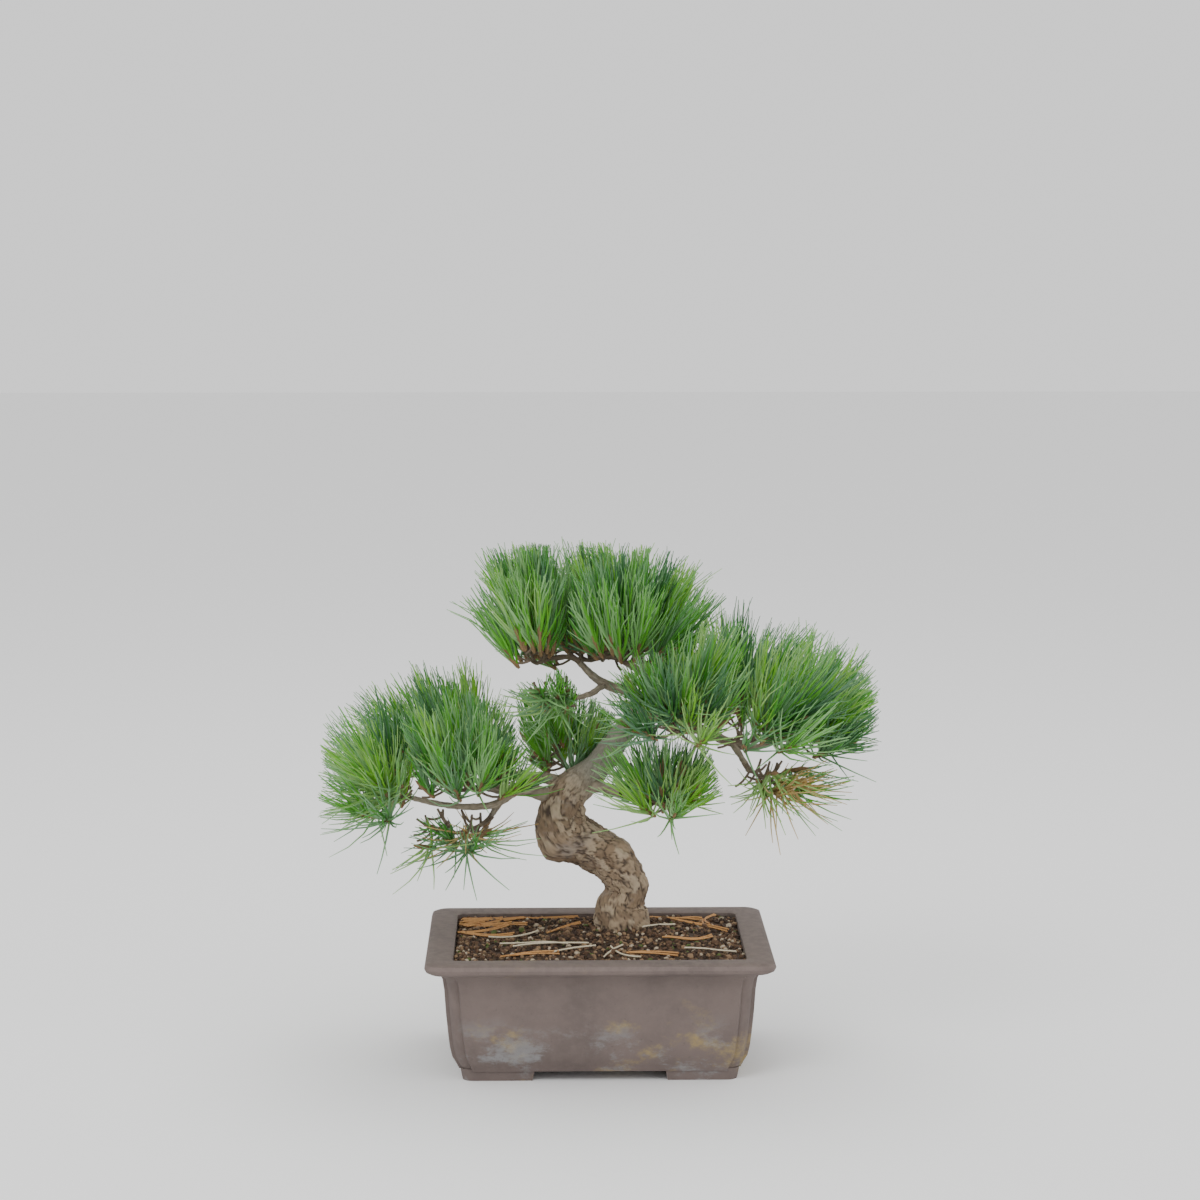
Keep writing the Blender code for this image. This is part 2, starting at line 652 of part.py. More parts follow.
def build_mass(name, paths, growth, material):
    """One foliage mass: a stem from its bough, twigs off the stem, and a tuft on each."""
    bough, middle, spread, shoots, _, lean, _, _ = MASSES[name]
    middle = millimetres(middle)
    spread = millimetres(spread)
    rng = random.Random(f"{SEED}{name}")
    tip, tip_radius = paths[bough][-1]
    along = tangents(paths[bough])[-1]
    growth.needles = []
    root = tip + along * GAP
    hub = middle - Vector((0, 0, spread.z + HUB_DROP))
    bend = root + along * (hub - root).length * 0.4
    stem = []
    for k in range(5):
        t = k / 4
        at = root.lerp(bend, t).lerp(bend.lerp(hub, t), t)
        stem.append((at, tip_radius * (1 - t) + STEM_TIP_RADIUS * t))
    stem[1] = (root + along * (stem[1][0] - root).length, stem[1][1])
    body = make_object(name, tube(stem, STEM_SIDES), material)
    pieces = []
    turn = rng.uniform(0, 2 * math.pi)
    for i in range(shoots):
        angle = turn + i * GOLDEN_ANGLE
        away = math.sqrt((i + 0.35) / shoots)
        offset = Vector((math.cos(angle) * away, math.sin(angle) * away, 0))
        end = middle + Vector((offset.x * spread.x, offset.y * spread.y,
                               spread.z * (1 - 2 * away * away) + rng.uniform(-2, 2) * MM))
        onto = nearest_on(stem[1:], end)
        outward = Vector((end.x - root.x, end.y - root.y, 0)).normalized() * 0.5
        outward += Vector((offset.x, offset.y, 0)) * 0.9
        axis = (outward + Vector((0, 0, lean))).normalized()
        twig = shoot_path(onto, end, axis)
        inside = all(growth.in_space(at, name) for at, _ in twig)
        if not inside or not growth.clears_limbs(twig[1][0], end, TWIG_TIP_RADIUS):
            continue
        pieces.append(build_shoot(onto, end, axis, name, growth, rng))
    fuse(body, pieces, "UNION", "EXACT")
    keep_main_body(body)


def build_wire(paths, material):
    """Wire that comes up beside the trunk and winds along the low right bough."""
    path = paths["bough_right_low"]
    along = tangents(path)
    axis = steady_axis(path)
    total = len(path) - 1
    count = round(WIRE_TURNS * WIRE_POINTS_PER_TURN)
    points = []
    for k in range(count + 1):
        share = k / count
        spot = (WIRE_START + (WIRE_END - WIRE_START) * share) * total
        low = min(int(spot), total - 1)
        centre = path[low][0].lerp(path[low + 1][0], spot - low)
        radius = path[low][1] + (path[low + 1][1] - path[low][1]) * (spot - low)
        tangent = along[low].lerp(along[low + 1], spot - low).normalized()
        side = (axis - tangent * axis.dot(tangent)).normalized()
        angle = WIRE_PHASE + share * WIRE_TURNS * 2 * math.pi
        out = side * math.cos(angle) + tangent.cross(side) * math.sin(angle)
        points.append(centre + out * (radius + GAP + WIRE_RADIUS))
    return make_object("training_wire", tube([(p, WIRE_RADIUS) for p in points], 5), material)


def main():
    clear_scene()
    clay = make_material("unglazed clay", (0.20, 0.16, 0.145), 0.85)
    earth = make_material("soil", (0.10, 0.055, 0.03), 0.95)
    bark = make_material("bark", (0.26, 0.19, 0.13), 0.9)
    needle = make_material("needles", (0.07, 0.22, 0.08), 0.6)
    metal = make_material("training wire", (0.03, 0.028, 0.026), 0.5, 0.8)
    paths = {"trunk": smooth_path(TRUNK, TRUNK_STEP)}
    for name, (_, rows) in BOUGHS.items():
        paths[name] = smooth_path(rows, BOUGH_STEP)
    build_pot(clay)
    build_soil(earth)
    build_trunk(paths["trunk"], bark)
    for name in BOUGHS:
        build_bough(name, paths, bark)
    build_wire(paths, metal)
    centres = {name: (millimetres(row[1]), row[4] * MM) for name, row in MASSES.items()}
    growth = Growth(paths, centres)
    for name in MASSES:
        build_mass(name, paths, growth, needle)


main()
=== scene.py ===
"""Japanese white pine bonsai in its clay pot: bark, needles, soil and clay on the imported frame."""

import math
import random

import bmesh
import bpy
from bpy.props import FloatProperty, FloatVectorProperty, IntProperty, PointerProperty
from mathutils import Matrix, Vector, noise
from mathutils.bvhtree import BVHTree
from mathutils.geometry import intersect_point_line
from mathutils.kdtree import KDTree


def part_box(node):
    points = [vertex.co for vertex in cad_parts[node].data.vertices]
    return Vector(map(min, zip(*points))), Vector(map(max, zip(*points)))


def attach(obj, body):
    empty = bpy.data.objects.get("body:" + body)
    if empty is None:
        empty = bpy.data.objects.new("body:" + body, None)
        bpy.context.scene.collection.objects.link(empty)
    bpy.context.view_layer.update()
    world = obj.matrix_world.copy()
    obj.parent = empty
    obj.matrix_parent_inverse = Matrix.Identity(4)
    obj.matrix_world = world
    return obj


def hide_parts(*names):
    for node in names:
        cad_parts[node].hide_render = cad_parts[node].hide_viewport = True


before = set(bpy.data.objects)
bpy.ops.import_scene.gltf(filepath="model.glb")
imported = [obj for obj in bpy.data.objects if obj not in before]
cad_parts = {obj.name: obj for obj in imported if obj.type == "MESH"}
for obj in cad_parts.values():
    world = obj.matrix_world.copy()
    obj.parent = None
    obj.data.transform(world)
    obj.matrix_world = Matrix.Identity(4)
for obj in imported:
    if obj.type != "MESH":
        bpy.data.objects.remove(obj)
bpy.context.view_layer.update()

bl_info = {
    "name": "White Pine Bonsai",
    "version": (1, 0, 0),
    "blender": (4, 5, 0),
    "location": "3D View > Sidebar > Bonsai",
    "description": "Dresses a bonsai's solids with bark, needles, soil and clay",
    "category": "Object",
}

MM = 0.001

# Pot, by its rim, as in the part
POT_LENGTH = 0.200
POT_WIDTH = 0.148
FLOOR_UNDERSIDE = 0.006
FLOOR_TOP = 0.012
CORNER_SEGMENTS = 12
CORNER_RUN = 0.0008
DRAIN_RADIUS = 0.007
DRAIN_SPACING = 0.084
FOOT_LENGTH = 0.043
FOOT_RETURN = 0.030
FOOT_WALL = 0.010
FOOT_INSET = 0.0196
FOOT_TAPER = 0.0014
FOOT_SINK = 0.0012
FOOT_CORNER = 0.006

# Each row of the pot's section in millimetres: inset from the rim, height, corner radius, corner step
POT_OUTSIDE = (
    (18.9, 6.0, 7.5, 1.8),
    (17.6, 9.0, 8.0, 2.0),
    (15.2, 13.5, 8.5, 2.2),
    (13.9, 19.5, 8.5, 2.2),
    (13.0, 27.0, 8.5, 2.2),
    (11.8, 40.0, 8.5, 2.2),
    (10.9, 54.0, 8.5, 2.2),
    (10.0, 60.5, 8.5, 2.0),
    (8.6, 63.8, 8.5, 1.2),
    (6.0, 65.5, 9.0, 0.4),
    (2.8, 66.0, 9.0, 0.0),
    (0.9, 67.3, 9.0, 0.0),
    (0.0, 69.4, 9.0, 0.0),
    (0.7, 71.6, 9.0, 0.0),
    (2.6, 72.45, 8.0, 0.0),
)
POT_INSIDE = (
    (5.0, 72.7, 7.2, 0.0),
    (8.0, 72.65, 6.2, 0.0),
    (11.0, 72.55, 5.2, 0.0),
    (14.6, 72.3, 4.0, 0.0),
    (15.9, 71.7, 4.0, 0.0),
    (16.5, 66.0, 4.0, 0.0),
    (18.0, 40.0, 4.0, 0.0),
    (20.2, 17.0, 4.0, 0.0),
    (22.4, 12.0, 4.0, 0.0),
)

# Trunk: centre and radius in millimetres, from below the soil to the tip
TRUNK = (
    (13.8, 18.0, 64.4, 16.0),
    (13.8, 18.0, 80.2, 15.6),
    (14.0, 18.0, 88.1, 13.6),
    (16.7, 18.0, 96.0, 11.6),
    (14.3, 17.0, 104.7, 12.9),
    (8.9, 16.0, 113.4, 13.2),
    (0.0, 14.0, 120.5, 13.0),
    (-9.4, 11.0, 126.6, 13.8),
    (-18.3, 9.0, 132.4, 15.0),
    (-22.0, 8.0, 141.0, 14.4),
    (-21.4, 8.0, 148.8, 13.0),
    (-17.7, 9.5, 156.8, 11.4),
    (-8.5, 12.0, 163.5, 9.8),
    (-0.5, 13.5, 171.0, 8.0),
    (7.8, 15.0, 181.4, 7.3),
    (17.5, 17.0, 194.0, 5.9),
    (30.8, 20.0, 210.3, 4.2),
)

# Swollen places on the trunk in millimetres: middle, reach and height
BURLS = (
    (-29.0, 2.0, 119.0, 10.0, 6.0),
    (-35.0, 4.0, 134.0, 7.0, 1.4),
    (19.5, 9.0, 126.0, 8.0, 3.2),
    (27.9, 14.0, 101.0, 7.0, 1.4),
)
SOIL_SEAT = 0.0739
TRUNK_GROOVE = 0.055
FLARE = 0.05
FLARE_HEIGHT = 0.009
TRUNK_SIDES = 110
TRUNK_STEP = 0.0012
SMOOTH_BARK_FROM = 0.170
SMOOTH_BARK_FADE = 0.016
PLATE = 0.0085
PLATE_HEIGHT = 0.0011
BOUGH_SIDES = 22
BOUGH_STEP = 0.0018

# Boughs: the limb each grows from, then centre and radius in millimetres from root to tip
BOUGHS = {
    "bough_left": ("trunk", (
        (-24.7, 9.0, 152.5, 4.6), (-33.5, 2.0, 157.0, 4.3), (-43.4, -6.0, 161.1, 3.6),
        (-54.0, -10.0, 161.4, 3.0), (-64.0, -12.0, 163.2, 2.3))),
    "bough_left_far": ("bough_left", (
        (-47.5, -8.0, 161.2, 2.4), (-60.0, -22.0, 155.5, 2.1), (-78.0, -23.0, 154.2, 1.8),
        (-94.0, -19.0, 155.4, 1.6), (-107.0, -14.0, 157.4, 1.4))),
    "bough_left_low": ("bough_left", (
        (-55.0, -10.3, 161.5, 2.2), (-58.0, -8.0, 153.0, 1.9), (-62.5, -8.0, 146.0, 1.6))),
    "bough_left_rear": ("trunk", (
        (-18.8, 12.0, 158.5, 4.0), (-29.4, 22.0, 162.0, 3.5), (-41.2, 32.0, 161.0, 3.0),
        (-53.0, 40.0, 161.0, 2.4), (-63.0, 45.0, 161.8, 2.0))),
    "bough_rear_low": ("trunk", (
        (-14.0, 12.0, 159.5, 3.4), (-14.5, 27.0, 161.0, 2.9), (-17.0, 41.0, 162.5, 2.2))),
    "bough_right_low": ("trunk", (
        (-8.0, 10.0, 159.5, 3.5), (2.8, 3.0, 160.2, 3.3), (13.7, -4.0, 158.2, 2.9),
        (23.0, -9.5, 156.3, 2.5), (29.5, -13.0, 155.3, 2.1))),
    "bough_inner": ("trunk", (
        (4.5, 15.0, 177.0, 2.0), (12.5, 29.0, 170.0, 1.8), (19.0, 38.0, 160.5, 1.4))),
    "bough_upper_left": ("trunk", (
        (27.0, 19.0, 206.0, 3.2), (17.7, 14.0, 215.0, 3.0), (5.0, 9.0, 220.0, 2.6),
        (-3.6, 5.0, 226.5, 2.2), (-11.0, 2.0, 234.5, 1.7))),
    "bough_upper_left_low": ("bough_upper_left", (
        (4.0, 8.4, 220.7, 1.9), (-4.0, -1.0, 216.6, 1.7), (-13.0, -6.0, 214.8, 1.4))),
    "bough_top": ("trunk", (
        (29.0, 19.8, 207.5, 3.7), (31.5, 13.0, 221.0, 3.2), (27.5, 4.0, 231.0, 2.4),
        (22.0, 0.0, 239.5, 1.9))),
    "bough_top_rear": ("bough_top", (
        (31.5, 13.0, 221.0, 2.3), (25.0, 29.0, 225.0, 2.1), (14.0, 40.0, 230.0, 1.6))),
    "bough_middle": ("trunk", (
        (28.5, 19.4, 207.5, 2.6), (33.5, 3.0, 205.5, 2.4), (36.5, -12.0, 202.0, 2.1),
        (40.0, -23.0, 199.5, 1.7))),
    "bough_right": ("trunk", (
        (23.0, 18.0, 201.0, 3.6), (41.5, 15.0, 200.0, 3.3), (59.7, 8.0, 193.5, 3.0),
        (75.9, 4.0, 187.0, 2.5), (90.0, 3.0, 183.5, 2.0), (104.0, 3.0, 187.5, 1.6))),
    "bough_right_drop": ("bough_right", (
        (78.0, 3.8, 186.5, 2.0), (82.0, -4.0, 181.0, 1.8), (86.0, -10.0, 175.5, 1.5))),
    "bough_right_front": ("bough_right", (
        (60.5, 7.5, 193.2, 2.2), (69.0, -7.0, 191.5, 2.0), (77.0, -20.0, 191.5, 1.6))),
    "bough_right_rear": ("bough_right", (
        (66.0, 5.5, 191.0, 2.4), (73.0, 21.0, 195.0, 2.1), (79.0, 33.0, 201.0, 1.6))),
    "bough_rear": ("trunk", (
        (20.0, 17.0, 197.3, 3.2), (25.5, 34.0, 195.5, 2.7), (33.0, 50.0, 196.5, 2.0))),
}

# Training wire, wound round the low right bough from the trunk
WIRE_RADIUS = 0.0008
WIRE_TURNS = 2.6
WIRE_START = 0.30
WIRE_END = 0.93
WIRE_POINTS_PER_TURN = 30
WIRE_PHASE = 1.9
WIRE_CLEARANCE = 0.0003

# Foliage masses in millimetres and degrees: bough, middle of the shoot tips, their spread,
# shoots, space, how upright the shoots stand, how wide the needles fan, how far they lift
MASSES = {
    "needles_far_left": ("bough_left_far", (-119, -12, 163), (9, 20, 5), 5, 42, 0.6, 76, 0.15),
    "needles_left": ("bough_left", (-79, -14, 171), (31, 28, 5), 10, 46, 1.4, 60, 0.3),
    "needles_left_low": ("bough_left_low", (-83, -15, 144), (20, 18, 3), 7, 42, 0.55, 78, 0.1),
    "needles_left_rear": ("bough_left_rear", (-86, 46, 170), (28, 20, 6), 8, 50, 1.0, 66, 0.25),
    "needles_rear_low": ("bough_rear_low", (-16, 50, 172), (24, 15, 5), 6, 44, 1.2, 60, 0.25),
    "needles_right_low": ("bough_right_low", (40, -20, 160), (10, 12, 2), 5, 44, 1.2, 62, 0.2),
    "needles_inner": ("bough_inner", (24, 44, 164), (8, 7, 2), 3, 30, 0.6, 60, 0.1),
    "needles_top_left": ("bough_upper_left", (-36, -6, 251), (10, 18, 12), 7, 46, 2.6, 36, 0.35),
    "needles_top_left_low": (
        "bough_upper_left_low", (-26, -13, 220), (12, 16, 4), 5, 40, 0.8, 74, 0.1),
    "needles_top": ("bough_top", (14, -10, 250), (22, 23, 10), 10, 52, 2.0, 46, 0.3),
    "needles_top_rear": ("bough_top_rear", (-4, 50, 240), (24, 17, 8), 8, 48, 1.4, 52, 0.2),
    "needles_middle": ("bough_middle", (48, -40, 212), (27, 20, 8), 8, 47, 1.0, 72, 0.2),
    "needles_right": ("bough_right", (117, 4, 197), (17, 27, 6), 9, 48, 0.7, 62, 0.15),
    "needles_right_drop": ("bough_right_drop", (96, -19, 175), (12, 12, 2), 5, 40, 0.35, 74, -0.05),
    "needles_right_front": ("bough_right_front", (88, -34, 204), (20, 17, 6), 6, 42, 1.0, 72, 0.2),
    "needles_right_rear": ("bough_right_rear", (82, 44, 206), (27, 20, 5), 8, 46, 0.7, 58, 0.1),
    "needles_rear": ("bough_rear", (42, 62, 206), (24, 12, 5), 6, 42, 0.9, 70, 0.2),
}
PADS = {
    "needles_of_left_pad": ("needles_far_left", "needles_left", "needles_left_low"),
    "needles_of_rear_pads": (
        "needles_left_rear", "needles_rear_low", "needles_inner", "needles_rear"),
    "needles_of_top": (
        "needles_top_left", "needles_top_left_low", "needles_top", "needles_top_rear"),
    "needles_of_middle": ("needles_middle", "needles_right_front", "needles_right_low"),
    "needles_of_right_pad": ("needles_right", "needles_right_drop", "needles_right_rear"),
}
SEED = 5
GOLDEN_ANGLE = math.pi * (3 - math.sqrt(5))
CROWN_HALF_LENGTH = 0.1605
CROWN_HALF_WIDTH = 0.0950
CROWN_TOP = 0.3040
MASS_GAP = 0.0009
HUB_DROP = 0.004
STEM_TIP_RADIUS = 0.0012
TWIG_RADIUS = 0.0010
TWIG_TIP_RADIUS = 0.0007
TWIG_SAG = 0.12
LAYERS = 3
LAYER_DROP = 0.0085
SPRAY_LIFT = 0.006
CORE_RADIUS = 0.0014
CORE_LENGTH = 0.016
FAN_INNER = math.radians(10)
NEEDLE_BENDS = (0.04, 0.16, 0.28, 0.40)
NEEDLE_SEGMENTS = 3
SHORTEST_SHARE = 0.5
NEEDLE_STRAY = 0.24

# Greens by spray: outer face, then inner face
NEEDLE_COLOURS = (
    ((0.095, 0.360, 0.016), (0.230, 0.440, 0.170)),
    ((0.050, 0.240, 0.018), (0.170, 0.340, 0.160)),
    ((0.022, 0.120, 0.015), (0.095, 0.220, 0.110)),
    ((0.170, 0.440, 0.022), (0.290, 0.500, 0.150)),
)
DRY_COLOURS = ((0.42, 0.27, 0.09), (0.50, 0.36, 0.16))
SPRAY_SHARES = (0.34, 0.62, 0.76, 1.0)
DRY_SHARE = 0.1
DRY_MASSES = ("needles_left_low", "needles_right_drop")
FEWEST_NEEDLES = 9

# Litter on the soil in millimetres: where a strand lies, which way it points, its length and bow
DRY_NEEDLES = (
    (-76, 38, 10, 40, 5), (-70, 33, -14, 38, -4), (-66, 40, 4, 44, 3), (-82, 28, 30, 34, 4),
    (-60, 26, -6, 36, 6), (-72, 20, 18, 40, -5), (-78, 44, -8, 36, 4), (-58, 36, 24, 32, 3),
    (-84, 8, 62, 30, 4), (-66, 8, -22, 34, -3), (46, 34, 12, 36, 4), (60, 22, -30, 38, 5),
    (52, -8, 20, 32, -4), (-30, 46, 6, 38, 4), (68, 40, 74, 30, 4), (-40, -44, 8, 34, 5),
    (30, -44, -12, 30, 4), (-20, 8, 40, 26, 3),
)
PALE_STRANDS = (
    (-28, -26, 4, 44, 4), (-38, -22, -9, 40, 3), (8, -38, 62, 24, 2), (15, -40, -50, 26, -3),
    (-14, -34, 22, 26, 3), (64, -36, -8, 30, 4), (-50, 2, 14, 30, -3), (36, 10, 34, 24, 3),
)
STRAND_RADIUS = 0.0006
STRAND_LIFT = 0.0016


class BonsaiTree(bpy.types.PropertyGroup):
    """Sizes of the pine's needles and how many it carries."""

    needle_length: FloatProperty(
        name="Needle Length", description="Length of a grown needle",
        default=0.040, unit="LENGTH")
    needle_width: FloatProperty(
        name="Needle Width", description="Width of a needle at its foot",
        default=0.0016, unit="LENGTH")
    fineness: IntProperty(
        name="Fineness", description="Sprays for each shoot of the solid", default=5)
    needles: IntProperty(
        name="Needles", description="Needles in each spray", default=34)


class BonsaiPot(bpy.types.PropertyGroup):
    """Colours of the pot's unglazed clay."""

    clay: FloatVectorProperty(
        name="Clay", description="Main colour of the clay", subtype="COLOR",
        default=(0.128, 0.098, 0.088))
    ochre: FloatVectorProperty(
        name="Ochre", description="Colour of the earthy smears", subtype="COLOR",
        default=(0.270, 0.200, 0.088))
    lime: FloatVectorProperty(
        name="Lime", description="Colour of the pale deposits", subtype="COLOR",
        default=(0.235, 0.240, 0.245))


class BonsaiSoil(bpy.types.PropertyGroup):
    """Size and number of the soil's grains."""

    grain: FloatProperty(
        name="Grain", description="Radius of a middling grain", default=0.0014, unit="LENGTH")
    grains: IntProperty(name="Grains", description="Grains on the surface", default=3400)


class BonsaiStage(bpy.types.PropertyGroup):
    """Light of the studio."""

    key_power: FloatProperty(
        name="Key Power", description="Power of the key light", default=15.0, unit="POWER")
    floor_colour: FloatVectorProperty(
        name="Floor", description="Colour of the floor", subtype="COLOR",
        default=(0.90, 0.90, 0.90))


class Socket:
    """A shader value, so that maths on it is written as plain expressions."""

    def __init__(self, tree, link):
        self.tree = tree
        self.link = link

    def maths(self, operation, *values):
        return make_node(self.tree, "ShaderNodeMath", {"operation": operation}, values)

    def __add__(self, other):
        return self.maths("ADD", self, other)

    def __radd__(self, other):
        return self.maths("ADD", other, self)

    def __sub__(self, other):
        return self.maths("SUBTRACT", self, other)

    def __rsub__(self, other):
        return self.maths("SUBTRACT", other, self)

    def __mul__(self, other):
        return self.maths("MULTIPLY", self, other)

    def __rmul__(self, other):
        return self.maths("MULTIPLY", other, self)

    def __pow__(self, other):
        return self.maths("POWER", self, other)


def make_node(tree, kind, settings=None, values=(), output=0):
    """A node with its settings, then the values or links of its sockets, as a Socket."""
    node = tree.nodes.new(kind)
    for name, value in (settings or {}).items():
        if name == "stops":
            ramp = node.color_ramp
            for place, colour in value[1:-1]:
                ramp.elements.new(place).color = (*colour, 1.0)
            ramp.elements[0].position = value[0][0]
            ramp.elements[0].color = (*value[0][1], 1.0)
            ramp.elements[-1].position = value[-1][0]
            ramp.elements[-1].color = (*value[-1][1], 1.0)
        else:
            setattr(node, name, value)
    pairs = values.items() if isinstance(values, dict) else enumerate(values)
    for name, value in pairs:
        if value is None:
            continue
        if isinstance(value, Socket):
            tree.links.new(value.link, node.inputs[name])
        elif isinstance(value, (tuple, list)) and len(value) == 3 and node.inputs[name].type == "RGBA":
            node.inputs[name].default_value = (*value, 1.0)
        else:
            node.inputs[name].default_value = value
    return Socket(tree, node.outputs[output])


def make_material(name, colour, roughness, metallic=0.0):
    material = bpy.data.materials.new(name)
    material.use_nodes = True
    shader = material.node_tree.nodes["Principled BSDF"]
    shader.inputs["Base Color"].default_value = (*colour, 1.0)
    shader.inputs["Roughness"].default_value = roughness
    shader.inputs["Metallic"].default_value = metallic
    return material


def feed(material, name, value):
    """Link a pattern to one of the shader's sockets."""
    tree = material.node_tree
    tree.links.new(value.link, tree.nodes["Principled BSDF"].inputs[name])


def place_of(tree):
    return make_node(tree, "ShaderNodeTexCoord", output="Object")


def mottle(tree, place, scale, detail=6.0, roughness=0.6, stretch=(1, 1, 1)):
    """Cloudy noise from 0 to 1 on object coordinates."""
    at = make_node(tree, "ShaderNodeMapping", values={"Vector": place, "Scale": stretch})
    return make_node(tree, "ShaderNodeTexNoise", values={
        "Vector": at, "Scale": scale, "Detail": detail, "Roughness": roughness})


def step_between(tree, value, low, high):
    """0 below low and 1 above high, smooth between them."""
    return make_node(tree, "ShaderNodeMapRange", {"interpolation_type": "SMOOTHSTEP"}, {
        "Value": value, "From Min": low, "From Max": high})


def mixed(tree, share, first, second, blend="MIX"):
    """One colour laid over another by a share."""
    node = tree.nodes.new("ShaderNodeMix")
    node.data_type = "RGBA"
    node.blend_type = blend
    for index, value in ((0, share), (6, first), (7, second)):
        if isinstance(value, Socket):
            tree.links.new(value.link, node.inputs[index])
        elif isinstance(value, (int, float)):
            node.inputs[index].default_value = value
        else:
            node.inputs[index].default_value = (*value, 1.0)
    return Socket(tree, node.outputs[2])


def bumped(tree, height, strength, distance):
    return make_node(tree, "ShaderNodeBump", values={
        "Height": height, "Strength": strength, "Distance": distance})


def clay_material(pot):
    """Purple-grey unglazed clay with ochre smears, lime near the foot, and a painted highlight that makes
    the lip paler towards its top.
    """
    material = make_material("unglazed clay", pot.clay, 0.85)
    tree = material.node_tree
    place = place_of(tree)
    height = make_node(tree, "ShaderNodeSeparateXYZ", values=[place], output="Z")
    broad = mottle(tree, place, 22.0, 5.0)
    fine = mottle(tree, place, 210.0, 8.0, 0.7)
    smear = mottle(tree, place, 15.0, 7.0, 0.68, (1.0, 1.0, 1.6))
    crust = mottle(tree, place, 34.0, 9.0, 0.72, (0.8, 0.8, 1.5))
    speck = mottle(tree, place, 620.0, 2.0, 0.5)
    base = mixed(tree, step_between(tree, broad, 0.35, 0.66),
                 [c * 0.84 for c in pot.clay], [c * 1.13 for c in pot.clay])
    base = mixed(tree, step_between(tree, fine, 0.40, 0.75) * 0.35, base,
                 [c * 1.35 for c in pot.clay])
    low = 1 - step_between(tree, height, 0.012, 0.045)
    band = 1 - step_between(tree, height, 0.024, 0.060)
    base = mixed(tree, step_between(tree, smear, 0.55, 0.66) * (0.3 + band * 0.6), base, pot.ochre)
    base = mixed(tree, step_between(tree, crust, 0.52, 0.66) * low * 0.75, base, pot.lime)
    base = mixed(tree, step_between(tree, crust, 0.62, 0.74) * low * 0.5, base, (0.11, 0.085, 0.075))
    # Painted highlight: the clay turns paler towards the top of the lip, standing in for the light that
    # falls on the rim.
    lip = step_between(tree, height, 0.0655, 0.0725)
    base = mixed(tree, lip * (0.25 + step_between(tree, fine, 0.4, 0.6) * 0.4), base,
                 [c * 1.5 for c in pot.clay])
    base = mixed(tree, step_between(tree, speck, 0.66, 0.74) * 0.4, base, (0.09, 0.07, 0.062))
    feed(material, "Base Color", base)
    feed(material, "Roughness", 0.72 + broad * 0.2)
    feed(material, "Normal", bumped(tree, fine * 0.6 + speck * 0.3 + crust * low * 0.8, 0.45, 0.0006))
    return material


def bark_material():
    """Flaky tan and grey plates over dark cracks, greyer and smoother on the upper trunk."""
    material = make_material("bark", (0.26, 0.19, 0.13), 0.9)
    tree = material.node_tree
    place = place_of(tree)
    crack = make_node(tree, "ShaderNodeAttribute", {"attribute_name": "crack"}, output="Fac")
    tone = make_node(tree, "ShaderNodeAttribute", {"attribute_name": "tone"}, output="Fac")
    smooth = make_node(tree, "ShaderNodeAttribute", {"attribute_name": "smooth"}, output="Fac")
    grain = mottle(tree, place, 420.0, 8.0, 0.7, (1.0, 1.0, 0.6))
    patch = mottle(tree, place, 60.0, 6.0, 0.65)
    plates = make_node(tree, "ShaderNodeValToRGB", {"stops": (
        (0.0, (0.155, 0.105, 0.068)), (0.35, (0.245, 0.170, 0.105)),
        (0.65, (0.335, 0.250, 0.165)), (1.0, (0.430, 0.345, 0.245)))},
        [tone * 0.7 + grain * 0.45 - 0.05])
    plates = mixed(tree, step_between(tree, patch, 0.50, 0.68) * 0.55, plates, (0.255, 0.225, 0.200))
    young = make_node(tree, "ShaderNodeValToRGB", {"stops": (
        (0.0, (0.095, 0.080, 0.062)), (0.42, (0.225, 0.205, 0.160)),
        (0.75, (0.330, 0.315, 0.260)), (1.0, (0.430, 0.420, 0.370)))}, [grain * 0.7 + patch * 0.4])
    skin = mixed(tree, smooth, plates, young)
    skin = mixed(tree, crack * (0.92 - smooth * 0.4), skin, (0.045, 0.030, 0.022))
    feed(material, "Base Color", skin)
    feed(material, "Roughness", 0.80 + grain * 0.18)
    feed(material, "Normal", bumped(tree, grain + patch * 0.6, 0.6, 0.0007))
    return material


def soil_material():
    material = make_material("soil", (0.075, 0.045, 0.028), 0.95)
    tree = material.node_tree
    place = place_of(tree)
    crumb = mottle(tree, place, 480.0, 6.0, 0.7)
    damp = mottle(tree, place, 60.0, 4.0)
    colour = make_node(tree, "ShaderNodeValToRGB", {"stops": (
        (0.0, (0.020, 0.012, 0.008)), (0.5, (0.070, 0.042, 0.026)), (1.0, (0.190, 0.125, 0.075)))},
        [crumb * 0.9 + damp * 0.25 - 0.1])
    feed(material, "Base Color", colour)
    feed(material, "Normal", bumped(tree, crumb, 0.9, 0.0015))
    return material


def speckled(name, colour, roughness):
    """A matte colour with fine lighter and darker specks."""
    material = make_material(name, colour, roughness)
    tree = material.node_tree
    place = place_of(tree)
    fine = mottle(tree, place, 900.0, 4.0, 0.7)
    feed(material, "Base Color", mixed(tree, fine, [c * 0.55 for c in colour],
                                       [min(1.0, c * 1.5) for c in colour]))
    feed(material, "Normal", bumped(tree, fine, 0.5, 0.0003))
    return material


def wire_material():
    material = make_material("training wire", (0.035, 0.030, 0.028), 0.45, 0.85)
    tree = material.node_tree
    worn = mottle(tree, place_of(tree), 700.0, 5.0)
    feed(material, "Base Color", mixed(tree, step_between(tree, worn, 0.5, 0.7),
                                       (0.028, 0.024, 0.022), (0.13, 0.085, 0.055)))
    feed(material, "Roughness", 0.35 + worn * 0.3)
    return material


def needle_materials():
    """Two slots for each spray colour: the outer face of a needle, then its pale inner faces."""
    slots = []
    for number, pair in enumerate(NEEDLE_COLOURS + (DRY_COLOURS,)):
        for side, colour in zip(("outer", "inner"), pair):
            slots.append(make_material(f"needle {number} {side}", colour, 0.5))
    return slots


